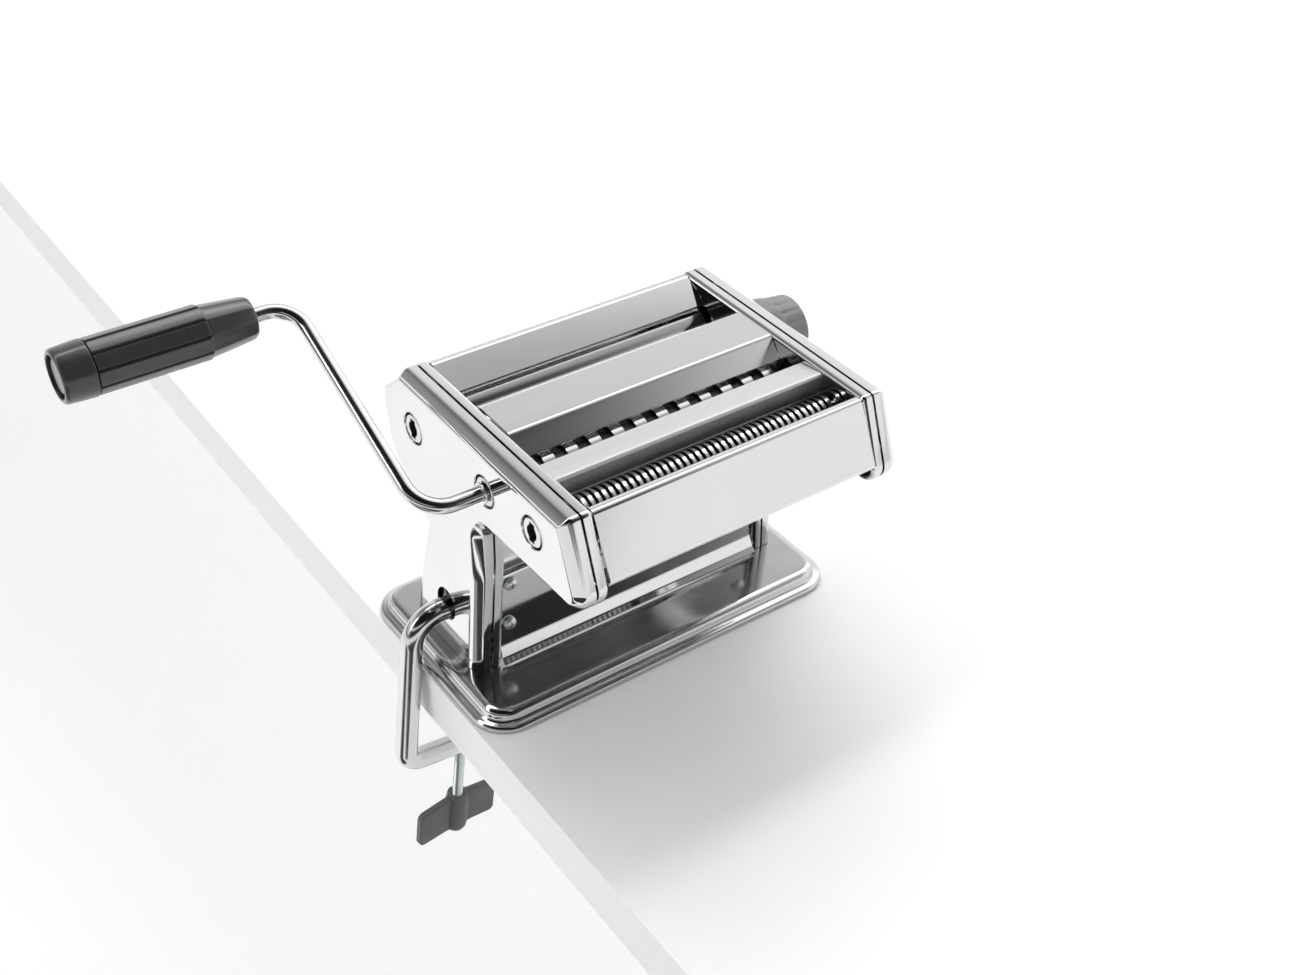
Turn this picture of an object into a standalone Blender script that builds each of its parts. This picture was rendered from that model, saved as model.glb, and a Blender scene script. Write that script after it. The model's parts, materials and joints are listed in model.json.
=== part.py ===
"""Hand-cranked pasta machine with smooth rollers and two fixed cutters.

Metres, +Z up. Origin: centre of the base's underside, on the table. +X runs along the rollers
towards the thickness regulator (the crank is at -X), the front panel faces -Y.
Driving dimensions are millimetres; MM turns them into metres.
"""

import math

import bmesh
import bpy
from mathutils import Matrix, Vector

MM = 0.001

# ---------------------------------------------------------------- driving dimensions (mm)
HEIGHT = 155.0            # top edge of the side plates above the table
BASE_X, BASE_Y = 110.5, 64.0   # half width and half depth of the base, over its lip
BASE_TOP = 9.0            # flat top of the base tray
BASE_R = 16.0             # corner radius of the base
SHEET = 1.2               # pressed sheet
FRAME_IN = 77.4           # inner face of the side frames: the rollers lie between them
FRAME_OUT = 83.0          # free edge of the frame's flange
COVER_IN = 84.2           # free edge of the cover's flange
COVER_OUT = 94.5          # outer face of the covers
COVER_FLAT = 88.6         # the cover's flat flange ends here and its bevel begins
COVER_RINGS = ((84.2, 0.0), (88.6, 0.0), (89.7, 0.3), (93.0, 2.4), (94.1, 3.3), (94.5, 4.3))  # (x, inset)
LEG_STEP, LEG_INSET = 2.0, 2.6   # the leg's face is set back, behind a wider bevel
LEG_FRONT, LEG_TOP, LEG_FOOT = -26.5, 77.5, 9.3
SPLAY = 4.2               # the legs lean outwards by this much at the foot
FRAME_T = 1.5
ROLLER_END = 75.4         # half length of every roller
SMOOTH_R = 13.2
SMOOTH_PITCH = 26.8       # closest distance between the smooth roller axes
CARRIAGE_TRAVEL = 2.75    # the adjustable roller opens by this over the regulator's 270 degrees
WIDE_R, WIDE_PITCH = 9.15, 18.6
NARROW_R, NARROW_PITCH = 8.6, 17.6
JOURNAL_R = 4.9
CAM_R = 6.2               # smallest radius of the regulator's spiral cam
CAM_TURN = math.radians(270)
KNOB_R = 19.0
SHAFT_END_R = 7.3         # visible ring in each crank hole
SOCKET_R = 5.0            # bore that takes the crank
COVER_HOLE_R = 8.8
CRANK_R = 3.75            # crank rod radius
CLAMP_R = 6.0             # clamp rod radius
CLAMP_HOLE_R = 8.9
CLAMP_TILT = math.radians(6.3)
CLAMP_Y, CLAMP_Z = 3.6, 31.4   # the clamp's arm in the leg
SCREW_R = 3.0

LINE = (-0.9976, 0.0698)  # direction (y, z) of the row of axes, towards the front
P_SMOOTH = (28.3, 128.5)
P_WIDE = (-37.7, 132.4)
P_NARROW = (-77.9, 135.4)


def along(p, s):
    return (p[0] + LINE[0] * s, p[1] + LINE[1] * s)


def on_line(p, s, t):
    """Point at s along the row of axes and t above it, from p."""
    return Vector((p[0] + LINE[0] * s + LINE[1] * t, p[1] + LINE[1] * s - LINE[0] * t))


P_ADJUST = along(P_SMOOTH, SMOOTH_PITCH)
P_KNOB = along(P_ADJUST, 1.4)
P_WIDE2 = along(P_WIDE, WIDE_PITCH)
P_NARROW2 = along(P_NARROW, NARROW_PITCH)

TIE_REAR, TIE_MIDDLE = (46.0, 116.0), (-22.2, 113.4)
PLATE_Y = -23.5           # middle of the cross plate
PLATE_SCREWS = ((74.2, 58.2), (75.2, 32.6))

# side outline (y, z, corner radius), once round
SIDE = [
    (41.5, 155.0, 4), (-100.3, 155.0, 3), (-118.0, 110.6, 9), (LEG_FRONT, 107.8, 22),
    (LEG_FRONT, LEG_TOP, 0), (LEG_FRONT, 75.0, 0), (LEG_FRONT, LEG_FOOT, 0), (38.0, LEG_FOOT, 0), (33.5, 44.0, 30), (27.0, 73.5, 7),
    (54.0, 101.0, 10), (60.5, 122.0, 12), (60.5, 138.5, 8),
]



def splay(z):
    """How far out of the head's plane the leg is at height z."""
    return SPLAY * max(0.0, LEG_TOP - z) / (LEG_TOP - LEG_FOOT)


# ---------------------------------------------------------------- scene
for old in list(bpy.data.objects):
    bpy.data.objects.remove(old, do_unlink=True)

parts = bpy.data.collections.new("pasta_machine")
cutters = bpy.data.collections.new("cutters")
bpy.context.scene.collection.children.link(parts)
bpy.context.scene.collection.children.link(cutters)
cutters.hide_render = True

MATERIALS = {}


def material(name, colour, roughness, metallic):
    if name not in MATERIALS:
        mat = bpy.data.materials.new(name)
        mat.use_nodes = True
        bsdf = mat.node_tree.nodes["Principled BSDF"]
        bsdf.inputs["Base Color"].default_value = (*colour, 1)
        bsdf.inputs["Roughness"].default_value = roughness
        bsdf.inputs["Metallic"].default_value = metallic
        MATERIALS[name] = mat
    return MATERIALS[name]


CHROME = ("chrome", (0.82, 0.82, 0.83), 0.12, 1.0)
STEEL = ("steel", (0.66, 0.66, 0.67), 0.3, 1.0)
ZINC = ("zinc", (0.6, 0.62, 0.62), 0.4, 1.0)
BRASS = ("brass", (0.72, 0.55, 0.28), 0.35, 1.0)
BLACK = ("black_plastic", (0.045, 0.047, 0.05), 0.45, 0.0)
GREY = ("grey_plastic", (0.18, 0.18, 0.19), 0.5, 0.0)
NYLON = ("nylon", (0.75, 0.74, 0.7), 0.5, 0.0)


def finish(obj, mat):
    """Own material, smooth shading, and the parts collection."""
    own = material(obj.name + "_" + mat[0], mat[1], mat[2], mat[3])
    obj.data.materials.clear()
    obj.data.materials.append(own)
    if obj.type == "MESH":
        obj.data.shade_smooth()
        obj.data.set_sharp_from_angle(angle=math.radians(35))
    return obj


def put(obj, collection=None):
    (collection or parts).objects.link(obj)
    return obj


def to_mesh(obj, name, weld=1e-6):
    """A curve as a welded mesh object that keeps its place."""
    bpy.context.view_layer.update()
    graph = bpy.context.evaluated_depsgraph_get()
    mesh = bpy.data.meshes.new_from_object(obj.evaluated_get(graph))
    matrix = obj.matrix_world.copy()
    bpy.data.objects.remove(obj, do_unlink=True)
    bm = bmesh.new()
    bm.from_mesh(mesh)
    bmesh.ops.remove_doubles(bm, verts=bm.verts, dist=weld)
    bmesh.ops.recalc_face_normals(bm, faces=bm.faces)
    bm.to_mesh(mesh)
    bm.free()
    new = bpy.data.objects.new(name, mesh)
    new.matrix_world = matrix
    return new


def rounded(points, step=math.radians(18)):
    """Corner points (a, b, radius) as a closed outline with arcs."""
    out = []
    n = len(points)
    for i, (a, b, radius) in enumerate(points):
        here = Vector((a, b))
        if radius <= 0:
            out.append(here)
            continue
        before = Vector(points[i - 1][:2]) - here
        after = Vector(points[(i + 1) % n][:2]) - here
        turn = math.pi - before.angle(after)
        cut = min(radius * math.tan(turn / 2), 0.49 * before.length, 0.49 * after.length)
        r = cut / math.tan(turn / 2)
        start, end = here + before.normalized() * cut, here + after.normalized() * cut
        centre = here + (before.normalized() + after.normalized()).normalized() * (r / math.cos(turn / 2))
        count = max(1, math.ceil(turn / step))
        a0 = start - centre
        sign = 1 if a0.x * (end - centre).y - a0.y * (end - centre).x > 0 else -1
        for k in range(count + 1):
            angle = sign * turn * k / count
            c, s = math.cos(angle), math.sin(angle)
            out.append(centre + Vector((a0.x * c - a0.y * s, a0.x * s + a0.y * c)))
    return out


def ring(radius, count, centre=(0, 0), start=0.0):
    return [Vector((centre[0] + radius * math.cos(start + 2 * math.pi * k / count),
                    centre[1] + radius * math.sin(start + 2 * math.pi * k / count))) for k in range(count)]


# local X -> world Y, local Y -> world Z, local Z -> world X
ACROSS = Matrix(((0, 0, 1), (1, 0, 0), (0, 1, 0))).to_4x4()


def slab(name, outlines, x0, x1):
    """Flat outlines (y, z) in mm, extruded from x0 to x1 along X. The second and later outlines are holes."""
    curve = bpy.data.curves.new(name, "CURVE")
    curve.dimensions = "2D"
    curve.fill_mode = "BOTH"
    curve.extrude = abs(x1 - x0) / 2 * MM
    for points in outlines:
        spline = curve.splines.new("POLY")
        spline.points.add(len(points) - 1)
        for point, xy in zip(spline.points, points):
            point.co = (xy[0] * MM, xy[1] * MM, 0, 1)
        spline.use_cyclic_u = True
    obj = bpy.data.objects.new(name + "_curve", curve)
    obj.matrix_world = Matrix.Translation(((x0 + x1) / 2 * MM, 0, 0)) @ ACROSS
    parts.objects.link(obj)
    return to_mesh(obj, name)


def boolean(obj, cutter, operation="DIFFERENCE"):
    if not cutter.users_collection:
        put(cutter, cutters)
    cutter.hide_render = True
    cutter.display_type = "WIRE"
    mod = obj.modifiers.new(operation.lower() + "_" + cutter.name, "BOOLEAN")
    mod.operation = operation
    mod.object = cutter
    mod.solver = "EXACT"
    return obj


def rod_x(name, radius, x0, x1, centre, count=20):
    """A cylinder along X, as a cutter or a plain pin."""
    mesh = bpy.data.meshes.new(name)
    bm = bmesh.new()
    bmesh.ops.create_cone(bm, cap_ends=True, segments=count, radius1=radius * MM, radius2=radius * MM,
                          depth=abs(x1 - x0) * MM)
    bm.to_mesh(mesh)
    bm.free()
    obj = bpy.data.objects.new(name, mesh)
    obj.matrix_world = Matrix.Translation(((x0 + x1) / 2 * MM, centre[0] * MM, centre[1] * MM)) @ Matrix.Rotation(math.pi / 2, 4, "Y")
    return obj


def rod_z(name, radius, z0, z1, centre, count=16):
    mesh = bpy.data.meshes.new(name)
    bm = bmesh.new()
    bmesh.ops.create_cone(bm, cap_ends=True, segments=count, radius1=radius * MM, radius2=radius * MM,
                          depth=abs(z1 - z0) * MM)
    bm.to_mesh(mesh)
    bm.free()
    obj = bpy.data.objects.new(name, mesh)
    obj.location = (centre[0] * MM, centre[1] * MM, (z0 + z1) / 2 * MM)
    return obj


def rod_y(name, radius, y0, y1, centre, count=12):
    obj = rod_z(name, radius, y0, y1, (0, 0), count)
    obj.matrix_world = Matrix.Translation((centre[0] * MM, (y0 + y1) / 2 * MM, centre[1] * MM)) @ Matrix.Rotation(math.pi / 2, 4, "X")
    return obj


def box(name, low, high):
    mesh = bpy.data.meshes.new(name)
    bm = bmesh.new()
    bmesh.ops.create_cube(bm, size=1)
    size = [(h - l) * MM for l, h in zip(low, high)]
    mid = [(h + l) / 2 * MM for l, h in zip(low, high)]
    bmesh.ops.transform(bm, matrix=Matrix.Diagonal((*size, 1)), verts=bm.verts)
    bm.to_mesh(mesh)
    bm.free()
    obj = bpy.data.objects.new(name, mesh)
    obj.location = mid
    return obj


def ear(name, sign, x_in, x_out, y0, y1, z0, z1):
    """A block beside the leaning leg: its outer side follows the leg."""
    obj = box(name, (-1, y0, z0), (1, y1, z1))
    for v in obj.data.vertices:
        z = z1 if v.co.z > 0 else z0
        v.co.x = sign * (x_out + splay(z) if v.co.x * sign > 0 else x_in) * MM
    obj.location.x = 0
    return obj


def turned(name, profile, place, steps=24, closed=False):
    """A turned piece: profile of (radius, height) in mm, down the outer side, on the local Z of place."""
    mesh = bpy.data.meshes.new(name)
    bm = bmesh.new()
    verts = [bm.verts.new((r * MM, 0, h * MM)) for r, h in profile]
    for a, b in zip(verts, verts[1:]):
        bm.edges.new((a, b))
    if closed:
        bm.edges.new((verts[-1], verts[0]))
    bm.to_mesh(mesh)
    bm.free()
    obj = bpy.data.objects.new(name, mesh)
    obj.matrix_world = place
    mod = obj.modifiers.new("turn", "SCREW")
    mod.axis = "Z"
    mod.steps = mod.render_steps = steps
    mod.use_merge_vertices = True
    mod.merge_threshold = 0.00001
    return put(obj)


def at_x(x, centre, towards=1):
    """Place whose local Z runs along +X (or -X) from x, on the axis through centre (y, z)."""
    turn = Matrix.Rotation(math.pi / 2 * towards, 4, "Y")
    return Matrix.Translation((x * MM, centre[0] * MM, centre[1] * MM)) @ turn


def bent_sheet(name, line, x0, x1, thickness=SHEET, side=0.0, leaning=False):
    """A sheet bent along straight folds: open surface swept along X, then Solidify."""
    mesh = bpy.data.meshes.new(name)
    bm = bmesh.new()
    verts = [bm.verts.new((x0 * MM, y * MM, z * MM)) for y, z in line]
    edges = [bm.edges.new(pair) for pair in zip(verts, verts[1:])]
    got = bmesh.ops.extrude_edge_only(bm, edges=edges)["geom"]
    bmesh.ops.translate(bm, verts=[v for v in got if isinstance(v, bmesh.types.BMVert)], vec=((x1 - x0) * MM, 0, 0))
    if leaning:
        for v in bm.verts:
            v.co.x += math.copysign(splay(v.co.z / MM), v.co.x) * MM
    bm.to_mesh(mesh)
    bm.free()
    obj = bpy.data.objects.new(name, mesh)
    mod = obj.modifiers.new("thickness", "SOLIDIFY")
    mod.thickness = thickness * MM
    mod.offset = side
    mod.use_even_offset = True
    return put(obj)


def leg_of(outline):
    """Which points of a side outline belong to the leg, and the first and the last of them."""
    flags = [p.y < 76.0 and p.x < 30.0 or p.y < 71.0 for p in outline]
    first = flags.index(True)
    return flags, first, len(flags) - 1 - flags[::-1].index(True)


def head_and_leg(bm, loop, first, last):
    """Three faces over one loop: the leg, the fold, and the head."""
    n = len(loop)
    bm.faces.new(loop[first:last + 1])
    bm.faces.new((loop[first - 1], loop[first], loop[last], loop[(last + 1) % n]))
    return bm.faces.new([loop[(last + 1 + i) % n] for i in range(n - (last - first + 1))])


def pan(name, outline, x_open, x_face, thickness):
    """A pressed side frame: a face at x_face with its walls running to x_open, open there, walls inward."""
    mesh = bpy.data.meshes.new(name)
    bm = bmesh.new()
    leg, first, last = leg_of(outline)
    sign = math.copysign(1, x_face)
    loop = [bm.verts.new(((x_face + (sign * splay(p.y) if on_leg else 0.0)) * MM, p.x * MM, p.y * MM))
            for p, on_leg in zip(outline, leg)]
    face = head_and_leg(bm, loop, first, last)
    rim = [e for e in bm.edges if len(e.link_faces) == 1]
    got = bmesh.ops.extrude_edge_only(bm, edges=rim)["geom"]
    bmesh.ops.translate(bm, verts=[v for v in got if isinstance(v, bmesh.types.BMVert)],
                        vec=((x_open - x_face) * MM, 0, 0))
    bmesh.ops.recalc_face_normals(bm, faces=bm.faces)
    outward = face.normal.x * (x_face - x_open)
    if outward < 0:
        bmesh.ops.reverse_faces(bm, faces=bm.faces)
    bm.to_mesh(mesh)
    bm.free()
    obj = bpy.data.objects.new(name, mesh)
    shell = obj.modifiers.new("thickness", "SOLIDIFY")
    shell.thickness = thickness * MM
    shell.offset = -1
    shell.use_even_offset = True
    return put(obj)


def inset_side(d, foot=0.0):
    """The side outline moved inwards by d, its foot on the base by foot. Every inset gives the same number of points."""
    corners = []
    n = len(SIDE)
    for i in range(n):
        lines = []
        for a, b in ((i - 1, i), (i, (i + 1) % n)):
            p, q = Vector(SIDE[a][:2]), Vector(SIDE[b][:2])
            u = (q - p).normalized()
            move = foot if abs(p.y - q.y) < 1e-6 and p.y < 20 else d
            lines.append((p + Vector((-u.y, u.x)) * move, u))
        (p, u), (q, v) = lines
        cross = u.x * v.y - u.y * v.x
        if abs(cross) < 1e-6:
            corners.append((p.x, SIDE[i][1], 0))
            continue
        t = ((q - p).x * v.y - (q - p).y * v.x) / cross
        here = p + u * t
        radius = SIDE[i][2]
        if radius:
            radius = max(radius - d, 0.7) if cross > 0 else radius + d
        corners.append((here.x, here.y, radius))
    return rounded(corners)


def pressed_cover(name, sign):
    """Side cover: flat flange, bevelled edge, face, and a leg face set back from the face of the head."""
    plain = inset_side(0)
    # the leg runs between two neighbouring points on its front edge and two on the fillet behind it
    leg, first, last = leg_of(plain)

    def ring_at(x, d, foot):
        t = max(0.0, (x - COVER_FLAT) / (COVER_OUT - COVER_FLAT))
        near, far = inset_side(d, foot), inset_side(d + LEG_INSET * t, foot)
        out = []
        for i in range(len(near)):
            p = far[i] if leg[i] else near[i]
            out.append((sign * (x + (splay(p.y) - LEG_STEP * t if leg[i] else 0.0)), p.x, p.y))
        return out

    rings = [ring_at(x, d, 0.0) for x, d in COVER_RINGS]
    rings += [ring_at(x - SHEET, d + 0.25, SHEET) for x, d in COVER_RINGS[:1:-1]]
    rings += [ring_at(COVER_FLAT - 0.4, SHEET, SHEET), ring_at(COVER_IN, SHEET, SHEET)]
    mesh = bpy.data.meshes.new(name)
    bm = bmesh.new()
    loops = [[bm.verts.new([c * MM for c in p]) for p in r] for r in rings]
    n = len(plain)
    outer = len(COVER_RINGS) - 1
    for a, b in list(zip(range(outer), range(1, outer + 1))) + [(k, k + 1) for k in range(outer + 1, len(rings) - 1)] + [(len(rings) - 1, 0)]:
        for i in range(n):
            j = (i + 1) % n
            bm.faces.new((loops[a][i], loops[a][j], loops[b][j], loops[b][i]))
    for k in (outer, outer + 1):
        head_and_leg(bm, loops[k], first, last)
    bmesh.ops.recalc_face_normals(bm, faces=bm.faces)
    bm.to_mesh(mesh)
    bm.free()
    return put(bpy.data.objects.new(name, mesh))


def tube(name, points, radius, resolution=2):
    """A round rod along points (mm), as a welded mesh."""
    curve = bpy.data.curves.new(name, "CURVE")
    curve.dimensions = "3D"
    curve.bevel_depth = radius * MM
    curve.bevel_resolution = resolution
    curve.use_fill_caps = True
    spline = curve.splines.new("POLY")
    spline.points.add(len(points) - 1)
    for point, xyz in zip(spline.points, points):
        point.co = (xyz[0] * MM, xyz[1] * MM, xyz[2] * MM, 1)
    obj = bpy.data.objects.new(name + "_curve", curve)
    parts.objects.link(obj)
    return to_mesh(obj, name)


def bend(points, step=math.radians(15)):
    """Corner points (Vector, radius) of a rod as a path with arcs."""
    out = []
    for i, (here, radius) in enumerate(points):
        if radius <= 0:
            out.append(here)
            continue
        before, after = points[i - 1][0] - here, points[i + 1][0] - here
        turn = math.pi - before.angle(after)
        cut = radius * math.tan(turn / 2)
        start = here + before.normalized() * cut
        end = here + after.normalized() * cut
        centre = here + (before.normalized() + after.normalized()).normalized() * (radius / math.cos(turn / 2))
        axis = (start - centre).cross(end - centre).normalized()
        count = max(2, math.ceil(turn / step))
        for k in range(count + 1):
            out.append(centre + Matrix.Rotation(turn * k / count, 3, axis) @ (start - centre))
    return out


def gear(name, teeth, pitch_r, bore, x0, x1, centre, phase, mat=STEEL):
    """Spur gear with straight-sided teeth, thinned so that a pair runs free."""
    module = 2 * pitch_r / teeth
    top, root = pitch_r + 0.75 * module, pitch_r - 1.05 * module
    outline = []
    for k in range(teeth):
        mid = phase + 2 * math.pi * k / teeth
        for r, half in ((root, 0.27), (top, 0.11)):
            a = half * 2 * math.pi / teeth
            outline.append((r, mid - a))
        for r, half in ((top, 0.11), (root, 0.27)):
            a = half * 2 * math.pi / teeth
            outline.append((r, mid + a))
    points = [Vector((centre[0] + r * math.cos(a), centre[1] + r * math.sin(a))) for r, a in outline]
    hole = ring(bore, 16, centre)
    obj = slab(name, [points, hole], x0, x1)
    put(obj)
    return finish(obj, mat)


# ---------------------------------------------------------------- base
def tray_outline(inset, corner):
    x, y = BASE_X - inset, BASE_Y - inset
    return rounded([(x, y, corner), (-x, y, corner), (-x, -y, corner), (x, -y, corner)])


def base_tray(name):
    """Pressed tray: flat top, rounded edge, wall, and a stepped lip that stands on the table."""
    mesh = bpy.data.meshes.new(name)
    bm = bmesh.new()
    face = bm.faces.new([bm.verts.new((p.x * MM, p.y * MM, BASE_TOP * MM)) for p in tray_outline(8.6, BASE_R - 6)])
    if face.normal.z < 0:
        face.normal_flip()
    rim = list(face.edges)
    inset = 8.6
    for z, new in ((8.4, 6.4), (6.6, 5.0), (3.6, 4.4), (3.0, 3.6), (2.6, 1.2), (1.6, 0.0), (0.0, 0.0)):
        got = bmesh.ops.extrude_edge_only(bm, edges=rim)["geom"]
        moved = [v for v in got if isinstance(v, bmesh.types.BMVert)]
        rim = [e for e in got if isinstance(e, bmesh.types.BMEdge)]
        for v in moved:
            # each ring keeps the corner arcs concentric
            cx = math.copysign(BASE_X - BASE_R - 3, v.co.x) * MM
            cy = math.copysign(BASE_Y - BASE_R - 3, v.co.y) * MM
            off = Vector((v.co.x - cx, v.co.y - cy))
            lim = Vector((max(0.0, off.x * math.copysign(1, cx)), max(0.0, off.y * math.copysign(1, cy))))
            grow = (inset - new) * MM
            if lim.length > 1e-9:
                lim = lim.normalized() * (lim.length + grow)
            v.co.x = cx + math.copysign(lim.x, cx)
            v.co.y = cy + math.copysign(lim.y, cy)
            v.co.z = z * MM
        inset = new
    bmesh.ops.recalc_face_normals(bm, faces=bm.faces)
    if face.normal.z < 0:
        bmesh.ops.reverse_faces(bm, faces=bm.faces)
    bm.to_mesh(mesh)
    bm.free()
    obj = bpy.data.objects.new(name, mesh)
    shell = obj.modifiers.new("thickness", "SOLIDIFY")
    shell.thickness = SHEET * MM
    shell.offset = -1
    shell.use_even_offset = True
    return put(obj)


base_cover = base_tray("base_cover")
SCREWS = {"lf": (-84.4, -14.0), "lr": (-84.4, 30.0), "rf": (84.4, -14.0), "rr": (84.4, 30.0)}
for key, (x, y) in SCREWS.items():
    boolean(base_cover, rod_z("cut_base_" + key, 2.4, 5, 12, (x, y)))
finish(base_cover, CHROME)

base_plate = slab("base_plate", [[Vector((p.x, p.y)) for p in tray_outline(4.4, BASE_R - 3)]], 0.0, 1.2)
# the slab helper extrudes along X: turn this one to lie flat
base_plate.matrix_world = Matrix.Translation((0, 0, 0.6 * MM))
put(base_plate)
finish(base_plate, STEEL)

# ---------------------------------------------------------------- side frames and covers
side_outline = rounded(SIDE)

for sign, word in ((-1, "left"), (1, "right")):
    frame = pan(word + "_frame", side_outline, sign * FRAME_OUT, sign * FRAME_IN, FRAME_T)
    x0, x1 = sorted((sign * (FRAME_IN - 2), sign * (FRAME_IN + 3)))
    for tag, centre, radius in (
        ("smooth", P_SMOOTH, 7.0), ("wide", P_WIDE, 5.6), ("wide2", P_WIDE2, 5.6),
        ("narrow", P_NARROW, 5.6), ("narrow2", P_NARROW2, 5.6),
    ):
        boolean(frame, rod_x(f"cut_{word}_{tag}", radius, x0, x1, centre, 24))
    # guide slot of the bearing block
    slot = [on_line(P_ADJUST, a, b) for a, b in ((-8.4, -7.6), (11.4, -7.6), (11.4, 7.6), (-8.4, 7.6))]
    boolean(frame, slab(f"cut_{word}_slot", [slot], x0, x1))
    slot = [on_line(P_ADJUST, 15.6 + a, -12.0 + b) for a, b in ((-2.2, -2.2), (5.2, -2.2), (5.2, 2.2), (-2.2, 2.2))]
    boolean(frame, slab(f"cut_{word}_bar_slot", [slot], x0, x1))
    for k, centre in enumerate((TIE_REAR, TIE_MIDDLE)):
        boolean(frame, rod_x(f"cut_{word}_tie{k}", 2.4, x0, x1, centre, 12))
    # the ear that the cross plate is screwed to
    boolean(frame, ear(word + "_ear_part", sign, 67.0, 78.2, PLATE_Y + 0.9, PLATE_Y + 2.4, 22.0, 64.0), "UNION")
    for k, (x, z) in enumerate(PLATE_SCREWS):
        boolean(frame, rod_y(f"cut_{word}_ear{k}", 2.0, PLATE_Y - 5, PLATE_Y + 5, (sign * x, z)))
    for key, (x, y) in SCREWS.items():
        if x * sign > 0:
            boolean(frame, rod_z(f"cut_frame_{key}", 2.4, 5, 14, (x, y)))
    if sign < 0:
        boolean(frame, rod_x("cut_left_clamp", CLAMP_HOLE_R, x0 - 4, x1, (CLAMP_Y, CLAMP_Z + 1.2), 24))
    finish(frame, CHROME)

    cover = pressed_cover(word + "_cover", sign)
    x0, x1 = sorted((sign * (COVER_OUT - 3), sign * (COVER_OUT + 2)))
    if sign < 0:
        for tag, centre in (("smooth", P_SMOOTH), ("wide", P_WIDE), ("narrow", P_NARROW)):
            boolean(cover, rod_x("cut_cover_" + tag, COVER_HOLE_R, x0, x1, centre, 28))
        boolean(cover, rod_x("cut_cover_clamp", CLAMP_HOLE_R, x0 - 2, x1, (CLAMP_Y + 0.2, CLAMP_Z + 3.4), 28))
    else:
        boolean(cover, rod_x("cut_cover_knob", 4.3, x0, x1, P_KNOB, 20))
    finish(cover, CHROME)

# ---------------------------------------------------------------- sheets and bars between the frames
IN = FRAME_IN - 0.4
front = bent_sheet("front_panel", [(-90.2, 147.2), (-96.0, 153.4), (-99.6, 153.4), (-114.4, 123.3), (-111.0, 120.2)],
                   -IN, IN, 1.0)
finish(front, CHROME)
rear = bent_sheet("rear_panel", [(22.5, 144.6), (38.5, 153.9), (42.5, 152.4), (58.6, 137.6), (58.6, 118.0)], -IN, IN, 1.0)
finish(rear, CHROME)
middle = bent_sheet("middle_bar", [(-2.2, 146.3), (-5.4, 154.0), (-31.6, 154.0), (-39.0, 143.6)], -IN, IN, 1.2)
finish(middle, CHROME)
guide = bent_sheet("guide_bar", [(-55.2, 150.3), (-70.2, 152.5), (-71.2, 151.6), (-68.9, 140.0)], -IN, IN, 1.0)
finish(guide, CHROME)
cross = bent_sheet("cross_plate", [(PLATE_Y - 5.8, 10.2), (PLATE_Y - 3.0, 12.4), (PLATE_Y, 19.0), (PLATE_Y, 64.6), (PLATE_Y + 8.9, 66.6)],
                   -IN, IN, 1.0, leaning=True)
for k, (x, z) in enumerate((side * x, z) for side in (-1, 1) for x, z in PLATE_SCREWS):
    boolean(cross, rod_y(f"cut_cross_{k}", 2.0, PLATE_Y - 5, PLATE_Y + 5, (x, z)))
finish(cross, CHROME)

# combs under the cutters and scrapers under the smooth rollers strip off the dough
for name, centre, radius, angle in (
    ("wide_comb_rear", P_WIDE, WIDE_R, -62), ("wide_comb_front", P_WIDE2, WIDE_R, -118),
    ("narrow_comb_rear", P_NARROW, NARROW_R, -62), ("narrow_comb_front", P_NARROW2, NARROW_R, -118),
    ("scraper_rear", P_SMOOTH, SMOOTH_R, -132), ("scraper_front", P_ADJUST, SMOOTH_R, -48),
):
    a = math.radians(angle)
    y, z = centre[0] + (radius + 1.1) * math.cos(a), centre[1] + (radius + 1.1) * math.sin(a)
    lean = -1.0 if math.cos(a) > 0 else 1.0
    comb = bent_sheet(name, [(y, z), (y + lean, z - 9.0)], -IN, IN, 1.0)
    finish(comb, STEEL)

# tie rods hold the frames together
for name, centre in (("tie_rod_rear", TIE_REAR), ("tie_rod_middle", TIE_MIDDLE)):
    rod = turned(name, [(0, 82.0), (2.1, 82.0), (2.1, 77.2), (3.4, 77.2), (3.4, -77.2), (2.1, -77.2), (2.1, -82.0), (0, -82.0)],
                 at_x(0, centre), 12)
    finish(rod, ZINC)

# screws of the cross plate, heads to the front
for sign, word in ((-1, "left"), (1, "right")):
    for tag, (x, z) in zip(("upper", "lower"), PLATE_SCREWS):
        place = Matrix.Translation((sign * x * MM, (PLATE_Y - 0.8) * MM, z * MM)) @ Matrix.Rotation(math.pi / 2, 4, "X")
        bolt = turned(f"plate_screw_{word}_{tag}", [(0, 2.6), (2.8, 2.6), (3.6, 2.0), (3.6, 0), (1.6, 0), (1.6, -5.4), (0, -5.4)], place, 12)
        finish(bolt, ZINC)

# screws that hold the frames on the base
for key, (x, y) in SCREWS.items():
    screw = turned("base_screw_" + key, [(0, 13.2), (2.1, 13.2), (2.1, 7.4), (4.2, 7.4), (4.2, 4.8), (0, 4.8)],
                   Matrix.Translation((x * MM, y * MM, 0)), 12)
    finish(screw, ZINC)

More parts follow.
